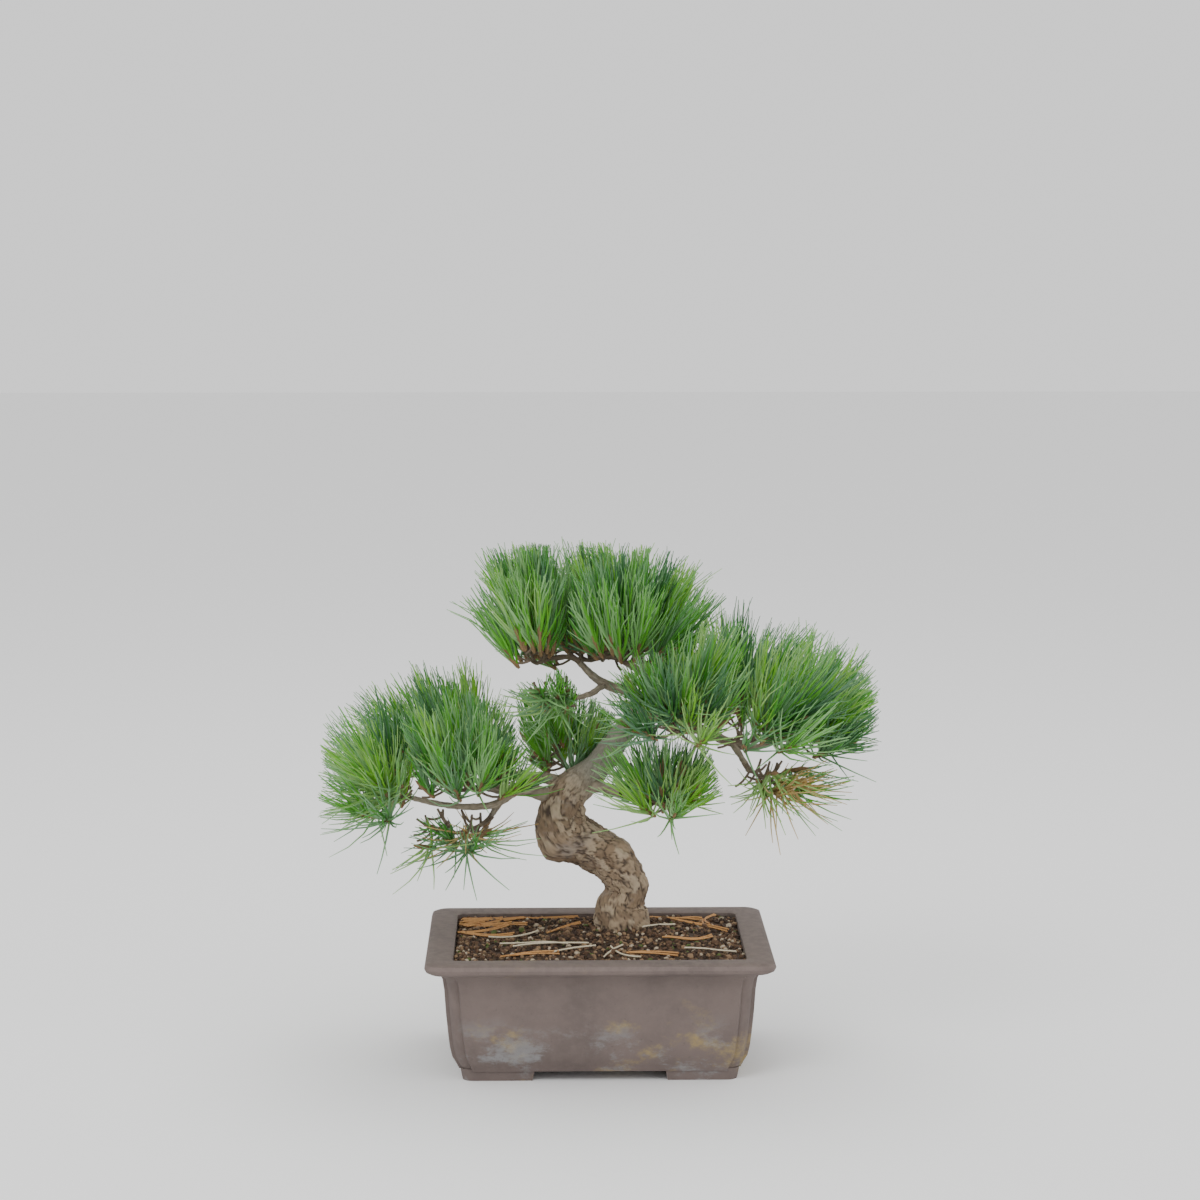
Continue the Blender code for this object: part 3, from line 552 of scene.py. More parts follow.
def finish_object(name, bm, materials, nodes=(), smooth=True):
    """A piece of the object from a bmesh, riding on the only body."""
    mesh = bpy.data.meshes.new(name)
    bm.to_mesh(mesh)
    bm.free()
    for material in materials:
        mesh.materials.append(material)
    if smooth:
        mesh.shade_smooth()
        mesh.set_sharp_from_angle(angle=math.radians(38))
    piece = bpy.data.objects.new(name, mesh)
    bpy.context.scene.collection.objects.link(piece)
    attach(piece, "root")
    if nodes:
        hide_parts(*nodes)
    return piece


def millimetres(row):
    """A place given in millimetres, in metres."""
    return Vector(row) * MM


def smooth_path(rows, spacing):
    """Points and radii along a smooth curve through rows of millimetres."""
    places = [millimetres(row[:3]) for row in rows]
    radii = [row[3] * MM for row in rows]
    places = [places[0] * 2 - places[1], *places, places[-1] * 2 - places[-2]]
    radii = [radii[0], *radii, radii[-1]]
    path = []
    for i in range(1, len(places) - 2):
        pieces = max(1, round((places[i + 1] - places[i]).length / spacing))
        for k in range(pieces):
            t = k / pieces
            weights = (
                (-t + 2 * t * t - t ** 3) / 2,
                (2 - 5 * t * t + 3 * t ** 3) / 2,
                (t + 4 * t * t - 3 * t ** 3) / 2,
                (-t * t + t ** 3) / 2,
            )
            at = Vector((0, 0, 0))
            for weight, place in zip(weights, places[i - 1:i + 3]):
                at += place * weight
            path.append((at, radii[i] * (1 - t) + radii[i + 1] * t))
    path.append((places[-2], radii[-2]))
    return path


def steady_axis(path):
    """The world axis that a limb runs along least, from which its rings are turned."""
    along = path[-1][0] - path[0][0]
    sizes = [abs(value) for value in along]
    axis = Vector((0, 0, 0))
    axis[sizes.index(min(sizes))] = 1.0
    return axis


def tangents(path):
    found = []
    for i in range(len(path)):
        after = path[min(i + 1, len(path) - 1)][0]
        before = path[max(i - 1, 0)][0]
        found.append((after - before).normalized())
    return found


def tube(path, sides, relief=None, marks=None):
    """A closed limb along a path; relief gives a vertex its radius and marks what it carries."""
    bm = bmesh.new()
    layers = [bm.verts.layers.float.new(mark) for mark in marks or ()]
    axis = steady_axis(path)
    previous = None
    for i, ((centre, radius), along) in enumerate(zip(path, tangents(path))):
        side = (axis - along * axis.dot(along)).normalized()
        up = along.cross(side)
        verts = []
        for k in range(sides):
            angle = 2 * math.pi * k / sides
            out = side * math.cos(angle) + up * math.sin(angle)
            reach, carried = relief(angle, centre, out, radius) if relief else (radius, ())
            vert = bm.verts.new(centre + out * reach)
            for layer, value in zip(layers, carried):
                vert[layer] = value
            verts.append(vert)
        edges = [bm.edges.new((verts[k - 1], verts[k])) for k in range(sides)]
        if i in (0, len(path) - 1):
            bm.faces.new(verts)
        if previous:
            bmesh.ops.bridge_loops(bm, edges=previous + edges)
        previous = edges
    return face_outwards(bm)


def face_outwards(bm):
    """Turn a closed body's faces outwards."""
    bmesh.ops.recalc_face_normals(bm, faces=bm.faces)
    if bm.calc_volume(signed=True) < 0:
        bmesh.ops.reverse_faces(bm, faces=bm.faces)
    return bm


def gather(bodies, marks=()):
    """One bmesh from several."""
    whole = bmesh.new()
    for mark in marks:
        whole.verts.layers.float.new(mark)
    for body in bodies:
        mesh = bpy.data.meshes.new("body")
        body.to_mesh(mesh)
        body.free()
        whole.from_mesh(mesh)
        bpy.data.meshes.remove(mesh)
    return whole


def ramp(value, low, high):
    share = min(1.0, max(0.0, (value - low) / (high - low)))
    return share * share * (3 - 2 * share)


def plate_relief(at, size):
    """Height from 0 to 1, crack and tone of the flaky plates at a place."""
    bent = at / size + noise.noise_vector(at / (size * 1.3)) * 0.9
    bent += noise.noise_vector(at / (size * 0.4)) * 0.22
    bent.z = bent.z * 1.3 + bent.x * 0.5
    distances, points = noise.voronoi(bent)
    edge = distances[1] - distances[0]
    tone = (math.sin(points[0].dot(Vector((12.9, 78.2, 37.7)))) * 43758.5) % 1.0
    rise = ramp(edge, 0.0, 0.16)
    tilt = (bent - points[0]).dot(Vector((tone - 0.5, 0.6 - tone, 0.7)))
    return rise * (0.45 + 0.55 * tone) + tilt * 0.35, 1 - ramp(edge, 0.01, 0.11), tone


def trunk_relief(angle, centre, out, radius):
    """The trunk's radius as in the part, with flaky plates laid on, and what the bark reads."""
    groove = TRUNK_GROOVE * math.cos(3 * angle + centre.z * 70)
    groove += TRUNK_GROOVE * 0.6 * math.cos(5 * angle - centre.z * 110)
    flare = FLARE * math.exp(-max(0.0, centre.z - SOIL_SEAT) / FLARE_HEIGHT)
    swollen = radius * (1.0 + groove + flare * (1 + 0.6 * math.cos(4 * angle + 0.7)))
    at = centre + out * radius
    for *middle, reach, rise in BURLS:
        apart = (at - millimetres(middle)).length / (reach * MM)
        swollen += rise * MM * math.exp(-apart * apart)
    smooth = ramp(centre.z, SMOOTH_BARK_FROM - SMOOTH_BARK_FADE, SMOOTH_BARK_FROM)
    height, crack, tone = plate_relief(at, PLATE)
    small, fine_crack, _ = plate_relief(at, PLATE * 0.36)
    wrinkle = noise.fractal(at * 300, 0.8, 2.1, 4)
    fold = noise.ridged_multi_fractal(Vector((at.x, at.y, at.z + at.x * 0.7)) * 75, 1.0, 2.0, 3, 1.0, 2.0)
    rough = (height - 0.6) * PLATE_HEIGHT + (small - 0.5) * PLATE_HEIGHT * 0.35
    rough += wrinkle * 0.00055 + (fold - 1.2) * 0.0009
    swollen += rough * (1 - smooth) + (small - 0.5) * 0.00025 * smooth + wrinkle * 0.00015
    cracked = max(crack, fine_crack * 0.35) * (1 - smooth) + fine_crack * 0.5 * smooth
    return swollen, (cracked, tone, smooth)


def bough_relief(angle, centre, out, radius):
    """A bough's radius with small scales and what the bark reads."""
    at = centre + out * radius
    height, crack, tone = plate_relief(at, 0.0030)
    wrinkle = noise.fractal(at * 500, 1.0, 2.0, 3)
    rough = (height - 0.5) * 0.00038 + wrinkle * 0.00025
    return radius * 1.02 + rough, (crack * 0.55, tone, 0.55)


def limb_paths(trunk_step, bough_step):
    paths = {"trunk": smooth_path(TRUNK, trunk_step)}
    for name, (_, rows) in BOUGHS.items():
        paths[name] = smooth_path(rows, bough_step)
    return paths


class Growth:
    """The masses' spaces and the limbs, so that a twig or needle keeps its place."""

    def __init__(self, paths):
        self.centres = {
            name: (millimetres(row[1]), row[4] * MM) for name, row in MASSES.items()}
        spots = [spot for path in paths.values() for spot in path]
        self.radii = [radius for _, radius in spots]
        self.limbs = KDTree(len(spots))
        for number, (at, _) in enumerate(spots):
            self.limbs.insert(at, number)
        self.limbs.balance()

    def in_space(self, place, name):
        """Whether a place lies in a mass's own space and within the crown's reach."""
        inside = abs(place.x) <= CROWN_HALF_LENGTH and abs(place.y) <= CROWN_HALF_WIDTH
        if not inside or place.z > CROWN_TOP:
            return False
        middle, space = self.centres[name]
        own = (place - middle).length_squared - space * space
        for other, (centre, size) in self.centres.items():
            if other == name:
                continue
            theirs = (place - centre).length_squared - size * size
            if own > theirs - 2 * MASS_GAP * (centre - middle).length:
                return False
        return True

    def clears_limbs(self, place):
        _, number, apart = self.limbs.find(place)
        return apart > self.radii[number] * 1.1 + MM * 0.5


def nearest_on(path, place):
    """The place on a path's middle line that is nearest to another place."""
    found = []
    for (low, _), (high, _) in zip(path, path[1:]):
        share = intersect_point_line(place, low, high)[1]
        found.append(low.lerp(high, min(1.0, max(0.0, share))))
    return min(found, key=lambda at: (at - place).length)


def twig_path(onto, tip, thick):
    """A twig that dips a little and turns up to its tip."""
    path = []
    length = (tip - onto).length
    for k in range(5):
        t = k / 4
        at = onto.lerp(tip, t)
        at.z -= TWIG_SAG * length * math.sin(math.pi * t)
        path.append((at, thick + (TWIG_TIP_RADIUS - thick) * t))
    return path


def grow_mass(name, paths, growth, fineness, rng):
    """A mass's limbs, and the tip and axis of every spray, by the part's rule carried finer."""
    bough, middle, spread, shoots, _, lean, _, _ = MASSES[name]
    middle = millimetres(middle)
    spread = millimetres(spread)
    tip, tip_radius = paths[bough][-1]
    along = tangents(paths[bough])[-1]
    hub = middle - Vector((0, 0, spread.z + HUB_DROP))
    bend = tip + along * (hub - tip).length * 0.4
    stem = []
    for k in range(9):
        t = k / 8
        at = tip.lerp(bend, t).lerp(bend.lerp(hub, t), t)
        stem.append((at, tip_radius * (1 - t) + STEM_TIP_RADIUS * t))
    turn = rng.uniform(0, 2 * math.pi)
    limbs = [stem]
    sprays = []
    mains = []
    for i in range(shoots * fineness):
        main = i < shoots
        number = i if main else i - shoots + 0.5
        count = shoots if main else shoots * (fineness - 1)
        away = min(1.06, math.sqrt((number + 0.35) / count))
        angle = turn + i * GOLDEN_ANGLE
        offset = Vector((math.cos(angle) * away, math.sin(angle) * away, 0))
        drop = 0 if main else (i % LAYERS) * LAYER_DROP
        end = middle + Vector((
            offset.x * spread.x, offset.y * spread.y,
            spread.z * (1 - 2 * away * away) + rng.uniform(-2, 2) * MM - drop * (1 - away * 0.4)))
        root = stem[1:] if main or not mains else min(
            mains, key=lambda path: (nearest_on(path, end) - end).length)
        onto = nearest_on(root, end)
        outward = Vector((end.x - tip.x, end.y - tip.y, 0)).normalized() * 0.5
        outward += Vector((offset.x, offset.y, 0)) * (0.9 + drop * 60)
        stray = Vector((rng.uniform(-0.2, 0.2), rng.uniform(-0.2, 0.2), 0))
        axis = (outward + stray + Vector((0, 0, lean))).normalized()
        if not growth.in_space(end, name) or not growth.clears_limbs(end):
            continue
        end = end + axis * SPRAY_LIFT
        path = twig_path(onto, end, TWIG_RADIUS if main else TWIG_RADIUS * 0.8)
        limbs.append(path)
        if main:
            mains.append(path)
        sprays.append((end, axis))
    return limbs, sprays


def needle_templates(width):
    """Curved needles of unit length along +Z that bow towards +X, outer face green, inner pale."""
    templates = []
    for bend in NEEDLE_BENDS:
        bm = bmesh.new()
        bmesh.ops.create_cone(bm, cap_ends=True, segments=3, radius1=width / 2,
                              radius2=width / 7, depth=1.0,
                              matrix=Matrix.Translation((0, 0, 0.5)))
        long_edges = [edge for edge in bm.edges if abs(edge.verts[0].co.z - edge.verts[1].co.z) > 0.5]
        bmesh.ops.subdivide_edges(bm, edges=long_edges, cuts=NEEDLE_SEGMENTS - 1)
        bmesh.ops.triangulate(bm, faces=[face for face in bm.faces if len(face.verts) > 4])
        bm.normal_update()
        turn = Matrix.Rotation(math.pi, 3, "Z")
        faces = [face for face in bm.faces if abs(face.normal.z) < 0.5]
        if max(face.normal.x for face in faces) > 0.9:
            bmesh.ops.rotate(bm, verts=bm.verts, matrix=turn)
            bm.normal_update()
        for face in bm.faces:
            face.material_index = 0 if face.normal.x < -0.6 else 1
        for vert in bm.verts:
            swell = 1.0 if vert.co.z < 0.9 else 0.8
            vert.co.x = vert.co.x * swell + bend * vert.co.z ** 2
        mesh = bpy.data.meshes.new("needle")
        bm.to_mesh(mesh)
        bm.free()
        templates.append((mesh, bend))
    return templates


def grow_spray(whole, tip, axis, name, tree, templates, growth, rng):
    """Needles round one shoot's end, wide at its foot and upright at its top; False if too few fit."""
    fan, lift = math.radians(MASSES[name][6]), MASSES[name][7]
    side = axis.orthogonal().normalized()
    other = axis.cross(side)
    draw = rng.random()
    colour = next(i for i, share in enumerate(SPRAY_SHARES) if draw <= share)
    if rng.random() < DRY_SHARE and name in DRY_MASSES:
        colour = len(NEEDLE_COLOURS)
    spray = bmesh.new()
    for i in range(tree.needles):
        share = (i + 0.5) / tree.needles
        angle = i * GOLDEN_ANGLE + rng.uniform(-0.3, 0.3)
        out = side * math.cos(angle) + other * math.sin(angle)
        lean = fan + (FAN_INNER - fan) * share ** 0.8 + rng.uniform(-NEEDLE_STRAY, NEEDLE_STRAY)
        aim = axis * math.cos(lean) + out * math.sin(lean)
        aim.z += lift
        aim.normalize()
        start = tip + axis * CORE_LENGTH * (share - 0.25)
        length = tree.needle_length * rng.uniform(0.80, 1.04)
        mesh, bend = rng.choice(templates)
        rise = axis - aim * axis.dot(aim)
        rise = rise.normalized() if rise.length > 0.05 else aim.orthogonal().normalized()
        upward = Vector((0, 0, 1)) - aim * aim.z
        bow = (rise + upward * 0.8).normalized()
        shortest = tree.needle_length * SHORTEST_SHARE
        while length > shortest and not growth.in_space(start + (aim + bow * bend) * length, name):
            length -= 0.002
        if length <= shortest or not growth.clears_limbs(start + aim * length * 0.6):
            continue
        placed = Matrix((bow, aim.cross(bow), aim * length)).transposed().to_4x4()
        first = len(spray.verts)
        spray.from_mesh(mesh)
        spray.verts.ensure_lookup_table()
        for vert in spray.verts[first:]:
            flat = vert.co.x - bend * vert.co.z ** 2
            local = Vector((flat + bend * vert.co.z ** 2 * length, vert.co.y, vert.co.z))
            vert.co = placed @ local + start
    if len(spray.verts) < FEWEST_NEEDLES * len(templates[0][0].vertices):
        spray.free()
        return False
    for face in spray.faces:
        face.material_index += 2 * colour
    mesh = bpy.data.meshes.new("spray")
    spray.to_mesh(mesh)
    spray.free()
    whole.from_mesh(mesh)
    bpy.data.meshes.remove(mesh)
    return True


def shoot_core(tip, axis):
    """The scaly brown shoot end that the needles stand on, with its bud."""
    path = []
    for share, radius in ((0, 0.6), (0.12, 1.0), (0.7, 0.95), (0.85, 1.1), (1.05, 0.6), (1.2, 0.15)):
        path.append((tip + axis * CORE_LENGTH * (share - 0.3), CORE_RADIUS * radius))
    return tube(path, 6)


def outline(half_length, half_width, corner, step):
    """A rectangle whose corners are rounded and set back by a step, anticlockwise."""
    points = []
    for turn in range(4):
        sign_x = 1 if turn in (0, 3) else -1
        sign_y = 1 if turn in (0, 1) else -1
        centre = Vector((sign_x * (half_length - corner), sign_y * (half_width - corner)))
        start = turn * math.pi / 2
        along = Vector((math.cos(start), math.sin(start)))
        across = Vector((-along.y, along.x))
        points.append(centre + along * corner - across * CORNER_RUN)
        for k in range(CORNER_SEGMENTS + 1):
            angle = start + k / CORNER_SEGMENTS * math.pi / 2
            points.append(centre + Vector((math.cos(angle), math.sin(angle))) * (corner - step))
        points.append(centre + across * corner - along * CORNER_RUN)
    return points


def section_ring(inset, height, corner, step):
    """One ring of the pot's section, from a row in millimetres."""
    half_length = POT_LENGTH / 2 - inset * MM
    half_width = POT_WIDTH / 2 - inset * MM
    flat = outline(half_length, half_width, corner * MM, step * MM)
    return [Vector((point.x, point.y, height * MM)) for point in flat]


def loft(rings):
    """A closed body through rings of points, with flat ends."""
    bm = bmesh.new()
    previous = None
    for number, ring in enumerate(rings):
        verts = [bm.verts.new(point) for point in ring]
        edges = [bm.edges.new((verts[i - 1], verts[i])) for i in range(len(verts))]
        if number in (0, len(rings) - 1):
            bm.faces.new(verts)
        if previous:
            bmesh.ops.bridge_loops(bm, edges=previous + edges)
        previous = edges
    return face_outwards(bm)


def foot_body(sign_x, sign_y):
    """One L-shaped foot under a corner, a little narrower at the ground."""
    bm = bmesh.new()
    length = POT_LENGTH / 2 - FOOT_INSET
    width = POT_WIDTH / 2 - FOOT_INSET
    points = [(length - FOOT_LENGTH, width)]
    for k in range(CORNER_SEGMENTS + 1):
        angle = math.pi / 2 * (1 - k / CORNER_SEGMENTS)
        points.append((length - FOOT_CORNER * (1 - math.cos(angle)),
                       width - FOOT_CORNER * (1 - math.sin(angle))))
    points.append((length, width - FOOT_RETURN))
    points.append((length - FOOT_WALL, width - FOOT_RETURN))
    points.append((length - FOOT_WALL, width - FOOT_WALL))
    points.append((length - FOOT_LENGTH, width - FOOT_WALL))
    top = FLOOR_UNDERSIDE + FOOT_SINK
    verts = [bm.verts.new((x * sign_x, y * sign_y, top)) for x, y in points]
    face = bm.faces.new(verts)
    grown = bmesh.ops.extrude_face_region(bm, geom=[face])
    middle = Vector(((length - FOOT_LENGTH / 2) * sign_x, (width - FOOT_RETURN / 2) * sign_y, 0))
    for vert in grown["geom"]:
        if isinstance(vert, bmesh.types.BMVert):
            vert.co.z = 0
            outward = vert.co - middle
            vert.co.x -= math.copysign(FOOT_TAPER, outward.x)
            vert.co.y -= math.copysign(FOOT_TAPER, outward.y)
    return face_outwards(bm)


def soil_surface():
    """A tree of the soil solid's faces, to rest grains and litter on."""
    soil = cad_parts["soil"]
    bm = bmesh.new()
    bm.from_mesh(soil.data)
    surface = BVHTree.FromBMesh(bm)
    bm.free()
    return surface


def rest_on(surface, x, y):
    """The soil's surface at a place, or nothing off the soil."""
    hit = surface.ray_cast(Vector((x, y, 0.2)), Vector((0, 0, -1)))
    return hit[0]


def strand_body(surface, row, lift):
    """A fallen needle that lies on the soil, from its row in millimetres and degrees."""
    x, y, heading, length, bow = row
    along = Vector((math.cos(math.radians(heading)), math.sin(math.radians(heading)), 0))
    across = Vector((-along.y, along.x, 0))
    path = []
    for k in range(9):
        t = k / 8 - 0.5
        at = Vector((x, y, 0)) * MM + along * t * length * MM + across * bow * MM * (1 - 4 * t * t)
        ground = rest_on(surface, at.x, at.y)
        if ground:
            path.append((ground + Vector((0, 0, lift + STRAND_LIFT * (0.4 + t * t * 2))), STRAND_RADIUS))
    return tube(path, 4) if len(path) > 2 else None


class BONSAI_OT_bark(bpy.types.Operator):
    """Grow the bark of the trunk and its boughs, with flaky plates in relief"""

    bl_idname = "bonsai.bark"
    bl_label = "Bark"

    def execute(self, context):
        marks = ("crack", "tone", "smooth")
        paths = limb_paths(TRUNK_STEP, BOUGH_STEP)
        trunk = [spot for spot in paths["trunk"] if spot[0].z > SOIL_SEAT - 0.004]
        bodies = [tube(trunk, TRUNK_SIDES, trunk_relief, marks)]
        for name in BOUGHS:
            bodies.append(tube(paths[name], BOUGH_SIDES, bough_relief, marks))
        bm = gather(bodies, marks)
        finish_object("bark", bm, [bark_material()], ("trunk", *BOUGHS))
        return {"FINISHED"}


class BONSAI_OT_foliage(bpy.types.Operator):
    """Grow the twigs, shoot ends and needles of every mass"""

    bl_idname = "bonsai.foliage"
    bl_label = "Foliage"

    def execute(self, context):
        tree = context.scene.bonsai_tree
        paths = limb_paths(0.006, 0.010)
        growth = Growth(paths)
        templates = needle_templates(tree.needle_width)
        slots = needle_materials()
        twigs = []
        cores = []
        for pad, names in PADS.items():
            whole = bmesh.new()
            for name in names:
                rng = random.Random(f"{SEED}{name}")
                limbs, sprays = grow_mass(name, paths, growth, tree.fineness, rng)
                twigs += [tube(path, 6) for path in limbs]
                for tip, axis in sprays:
                    if grow_spray(whole, tip, axis, name, tree, templates, growth, rng):
                        cores.append(shoot_core(tip, axis))
            finish_object(pad, whole, slots, names, smooth=False)
        finish_object("twigs", gather(twigs), [speckled("twig bark", (0.16, 0.12, 0.085), 0.85)])
        finish_object("shoot_ends", gather(cores), [speckled("shoot scales", (0.25, 0.15, 0.075), 0.8)])
        for mesh, _ in templates:
            bpy.data.meshes.remove(mesh)
        return {"FINISHED"}


class BONSAI_OT_wire(bpy.types.Operator):
    """Wind the training wire along the low right bough"""

    bl_idname = "bonsai.wire"
    bl_label = "Training Wire"

    def execute(self, context):
        path = smooth_path(BOUGHS["bough_right_low"][1], 0.010)
        along = tangents(path)
        axis = steady_axis(path)
        total = len(path) - 1
        count = round(WIRE_TURNS * WIRE_POINTS_PER_TURN)
        points = []
        for k in range(count + 1):
            share = k / count
            spot = (WIRE_START + (WIRE_END - WIRE_START) * share) * total
            low = min(int(spot), total - 1)
            centre = path[low][0].lerp(path[low + 1][0], spot - low)
            radius = path[low][1] + (path[low + 1][1] - path[low][1]) * (spot - low)
            tangent = along[low].lerp(along[low + 1], spot - low).normalized()
            side = (axis - tangent * axis.dot(tangent)).normalized()
            angle = WIRE_PHASE + share * WIRE_TURNS * 2 * math.pi
            out = side * math.cos(angle) + tangent.cross(side) * math.sin(angle)
            points.append((centre + out * (radius + WIRE_CLEARANCE + WIRE_RADIUS), WIRE_RADIUS))
        finish_object("wire", tube(points, 12), [wire_material()],
                      ("training_wire",))
        return {"FINISHED"}


class BONSAI_OT_pot(bpy.types.Operator):
    """Form the clay pot with its lip, stepped corners, feet and drain holes"""

    bl_idname = "bonsai.pot"
    bl_label = "Pot"

    def execute(self, context):
        body = loft([section_ring(*row) for row in POT_OUTSIDE + POT_INSIDE])
        bmesh.ops.triangulate(body, faces=body.faces)
        feet = [foot_body(sign_x, sign_y) for sign_x in (1, -1) for sign_y in (1, -1)]
        pot = finish_object("clay_pot", body, [clay_material(context.scene.bonsai_pot)],
                            ("pot",))
        holes = []
        for sign in (1, -1):
            hole = bmesh.new()
            bmesh.ops.create_cone(hole, cap_ends=True, segments=32, radius1=DRAIN_RADIUS,
                                  radius2=DRAIN_RADIUS, depth=FLOOR_TOP * 1.8,
                                  matrix=Matrix.Translation((sign * DRAIN_SPACING / 2, 0, FLOOR_TOP)))
            holes.append(hole)
        self.combine(pot, feet, "UNION")
        self.combine(pot, holes, "DIFFERENCE")
        pot.data.shade_smooth()
        pot.data.set_sharp_from_angle(angle=math.radians(30))
        weighted = pot.modifiers.new("Even Shading", "WEIGHTED_NORMAL")
        weighted.keep_sharp = True
        return {"FINISHED"}

    def combine(self, pot, bodies, operation):
        """One Boolean of the pot with several bodies."""
        bm = gather(bodies)
        mesh = bpy.data.meshes.new("tool")
        bm.to_mesh(mesh)
        bm.free()
        tool = bpy.data.objects.new("tool", mesh)
        bpy.context.scene.collection.objects.link(tool)
        step = pot.modifiers.new("Boolean", "BOOLEAN")
        step.operation = operation
        step.solver = "MANIFOLD"
        step.object = tool
        depsgraph = bpy.context.evaluated_depsgraph_get()
        shaped = bpy.data.meshes.new_from_object(pot.evaluated_get(depsgraph))
        pot.modifiers.clear()
        pot.data = shaped
        bpy.data.objects.remove(tool)


class BONSAI_OT_soil(bpy.types.Operator):
    """Fill the pot with granular soil, and lay fallen needles on it"""

    bl_idname = "bonsai.soil"
    bl_label = "Soil"

    def execute(self, context):
        settings = context.scene.bonsai_soil
        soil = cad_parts["soil"]
        soil.data.materials.clear()
        soil.data.materials.append(soil_material())
        surface = soil_surface()
        rng = random.Random(SEED)
        low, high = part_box("soil")
        stone = bmesh.new()
        bmesh.ops.create_icosphere(stone, subdivisions=1, radius=1.0)
        ball = bpy.data.meshes.new("ball")
        stone.to_mesh(ball)
        stone.free()
        grains = bmesh.new()
        for _ in range(settings.grains):
            x, y = rng.uniform(low[0], high[0]), rng.uniform(low[1], high[1])
            ground = rest_on(surface, x, y)
            if not ground or ground.z < 0.066:
                continue
            size = settings.grain * rng.uniform(0.5, 1.25) * (1.35 if rng.random() < 0.12 else 1.0)
            shape = Matrix.Diagonal((rng.uniform(0.7, 1.25), rng.uniform(0.7, 1.25),
                                     rng.uniform(0.6, 1.0), 1.0))
            turn = Matrix.Rotation(rng.uniform(0, 6.3), 4, Vector((rng.random(), rng.random(), 1)))
            first = len(grains.verts)
            first_face = len(grains.faces)
            grains.from_mesh(ball)
            grains.verts.ensure_lookup_table()
            grains.faces.ensure_lookup_table()
            placed = Matrix.Translation(ground + Vector((0, 0, size * 0.35)))
            placed = placed @ turn @ shape @ Matrix.Scale(size, 4)
            for vert in grains.verts[first:]:
                vert.co = placed @ (vert.co * rng.uniform(0.8, 1.15))
            kind = self.kind_of(rng.random())
            for face in grains.faces[first_face:]:
                face.material_index = kind
        bpy.data.meshes.remove(ball)
        colours = (
            ("dark grain", (0.045, 0.026, 0.017)), ("brown grain", (0.110, 0.062, 0.036)),
            ("tan grain", (0.240, 0.150, 0.085)), ("pale grit", (0.420, 0.340, 0.250)),
            ("moss", (0.085, 0.110, 0.030)),
        )
        finish_object("soil_grains", grains, [speckled(name, colour, 0.95) for name, colour in colours])
        litter = [strand_body(surface, row, 0.0008) for row in DRY_NEEDLES]
        twins = [strand_body(surface, (x + 1, y + 2, heading + 7, length * 0.95, bow), 0.001)
                 for x, y, heading, length, bow in DRY_NEEDLES]
        litter = [body for body in litter + twins if body]
        finish_object("dry_needles", gather(litter),
                      [speckled("dry needle", (0.47, 0.235, 0.085), 0.7)])
        strands = [strand_body(surface, row, 0.0012) for row in PALE_STRANDS]
        finish_object("pale_strands", gather([body for body in strands if body]),
                      [speckled("bleached needle", (0.58, 0.50, 0.37), 0.75)])
        return {"FINISHED"}

    def kind_of(self, draw):
        """Which of the five colours a grain takes."""
        for kind, share in enumerate((0.34, 0.70, 0.90, 0.965)):
            if draw < share:
                return kind
        return 4


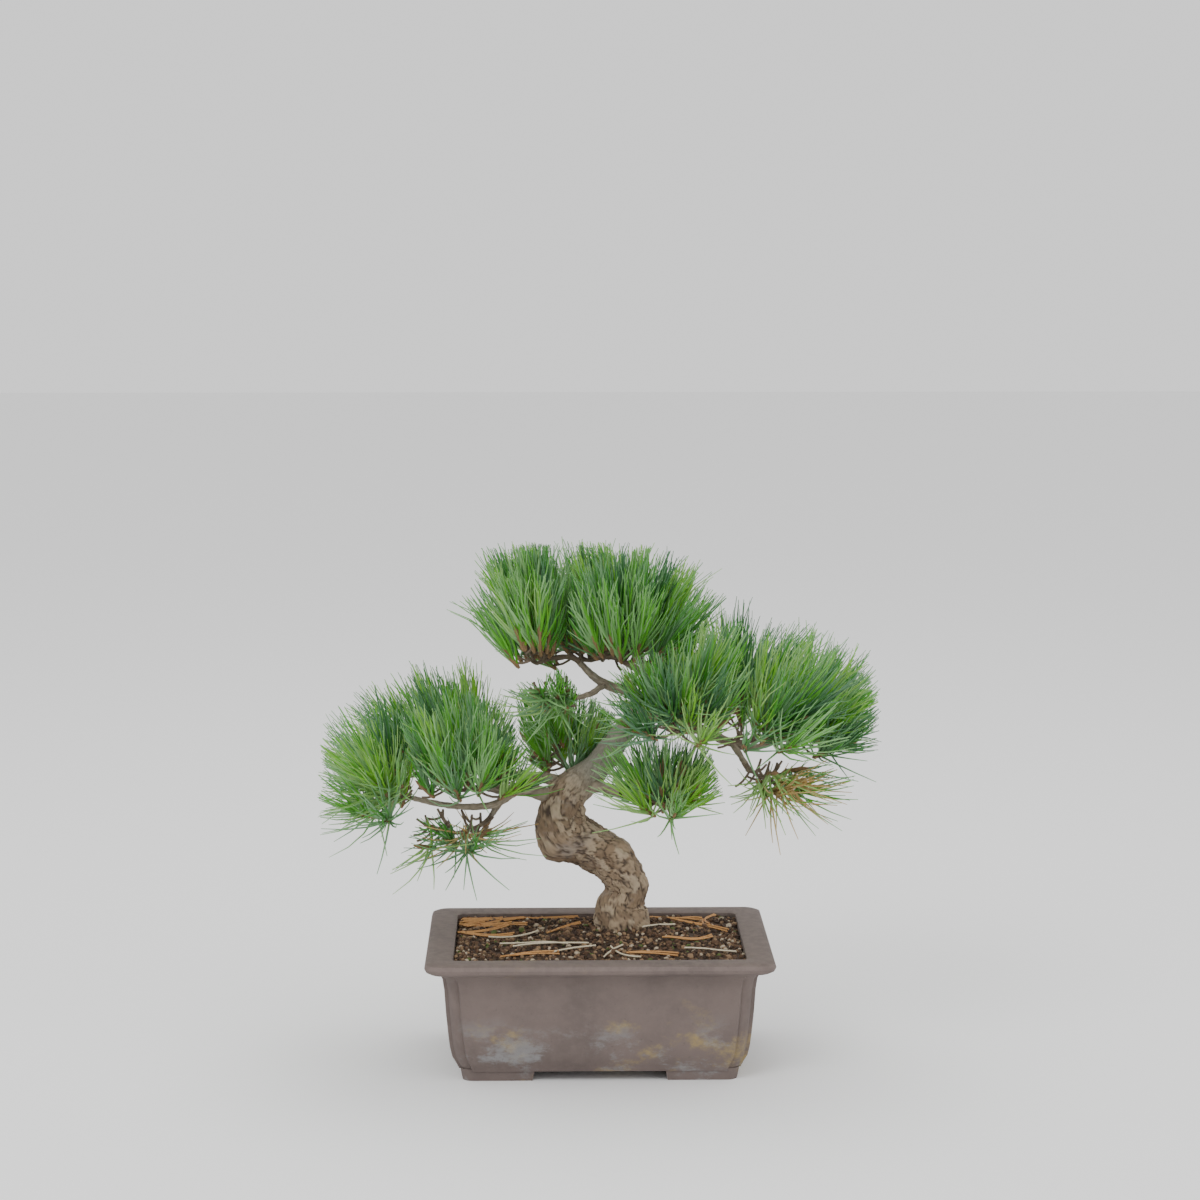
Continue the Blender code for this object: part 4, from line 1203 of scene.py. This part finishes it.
class BONSAI_OT_stage(bpy.types.Operator):
    """Set up the pale floor, soft lights and the camera"""

    bl_idname = "bonsai.stage"
    bl_label = "Stage"

    def execute(self, context):
        settings = context.scene.bonsai_stage
        bm = bmesh.new()
        bmesh.ops.create_grid(bm, x_segments=1, y_segments=1, size=6.0)
        mesh = bpy.data.meshes.new("floor")
        bm.to_mesh(mesh)
        bm.free()
        mesh.materials.append(make_material("floor", settings.floor_colour, 0.9))
        floor = bpy.data.objects.new("floor", mesh)
        context.scene.collection.objects.link(floor)
        world = bpy.data.worlds.new("studio")
        world.use_nodes = True
        world.node_tree.nodes["Background"].inputs["Color"].default_value = (1.0, 1.0, 1.0, 1.0)
        world.node_tree.nodes["Background"].inputs["Strength"].default_value = 1.1
        context.scene.world = world
        middle = Vector((0, 0, 0.15))
        lights = (
            ("key", (-0.9, -1.3, 1.5), 1.0, settings.key_power),
            ("fill", (1.4, -1.0, 0.7), 1.4, settings.key_power * 0.4),
            ("top", (0.1, 0.5, 1.7), 1.2, settings.key_power * 0.6),
        )
        for name, place, size, power in lights:
            lamp = bpy.data.lights.new(name, "AREA")
            lamp.shape = "DISK"
            lamp.size = size
            lamp.energy = power
            thing = bpy.data.objects.new(name, lamp)
            thing.location = place
            thing.rotation_euler = (middle - Vector(place)).to_track_quat("-Z", "Y").to_euler()
            context.scene.collection.objects.link(thing)
        camera = bpy.data.cameras.new("camera")
        camera.lens = 93.78
        camera.sensor_width = 36.0
        view = bpy.data.objects.new("camera", camera)
        view.location = (-0.0331, -1.7961, 0.5090)
        view.rotation_euler = (math.pi / 2 - 0.13159, 0, -0.018956)
        context.scene.collection.objects.link(view)
        context.scene.camera = view
        return {"FINISHED"}


class BONSAI_PT_panel(bpy.types.Panel):
    """Lists the bonsai's sizes and its pieces"""

    bl_idname = "BONSAI_PT_panel"
    bl_label = "White Pine Bonsai"
    bl_space_type = "VIEW_3D"
    bl_region_type = "UI"
    bl_category = "Bonsai"

    def draw(self, context):
        for group in GROUPS:
            settings = getattr(context.scene, group)
            for name in settings.__annotations__:
                self.layout.prop(settings, name)
        for piece in PIECES:
            self.layout.operator(piece)


GROUPS = {
    "bonsai_tree": BonsaiTree, "bonsai_pot": BonsaiPot,
    "bonsai_soil": BonsaiSoil, "bonsai_stage": BonsaiStage,
}
PIECES = ("bonsai.pot", "bonsai.soil", "bonsai.bark", "bonsai.wire", "bonsai.foliage", "bonsai.stage")
CLASSES = (
    *GROUPS.values(), BONSAI_OT_bark, BONSAI_OT_foliage, BONSAI_OT_wire, BONSAI_OT_pot,
    BONSAI_OT_soil, BONSAI_OT_stage, BONSAI_PT_panel,
)


def register():
    for kind in CLASSES:
        bpy.utils.register_class(kind)
    for name, kind in GROUPS.items():
        setattr(bpy.types.Scene, name, PointerProperty(type=kind))


def unregister():
    for name in GROUPS:
        delattr(bpy.types.Scene, name)
    for kind in reversed(CLASSES):
        bpy.utils.unregister_class(kind)


def main():
    register()
    for piece in PIECES:
        family, name = piece.split(".")
        getattr(getattr(bpy.ops, family), name)()
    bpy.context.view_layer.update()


if __name__ == "__main__":
    main()
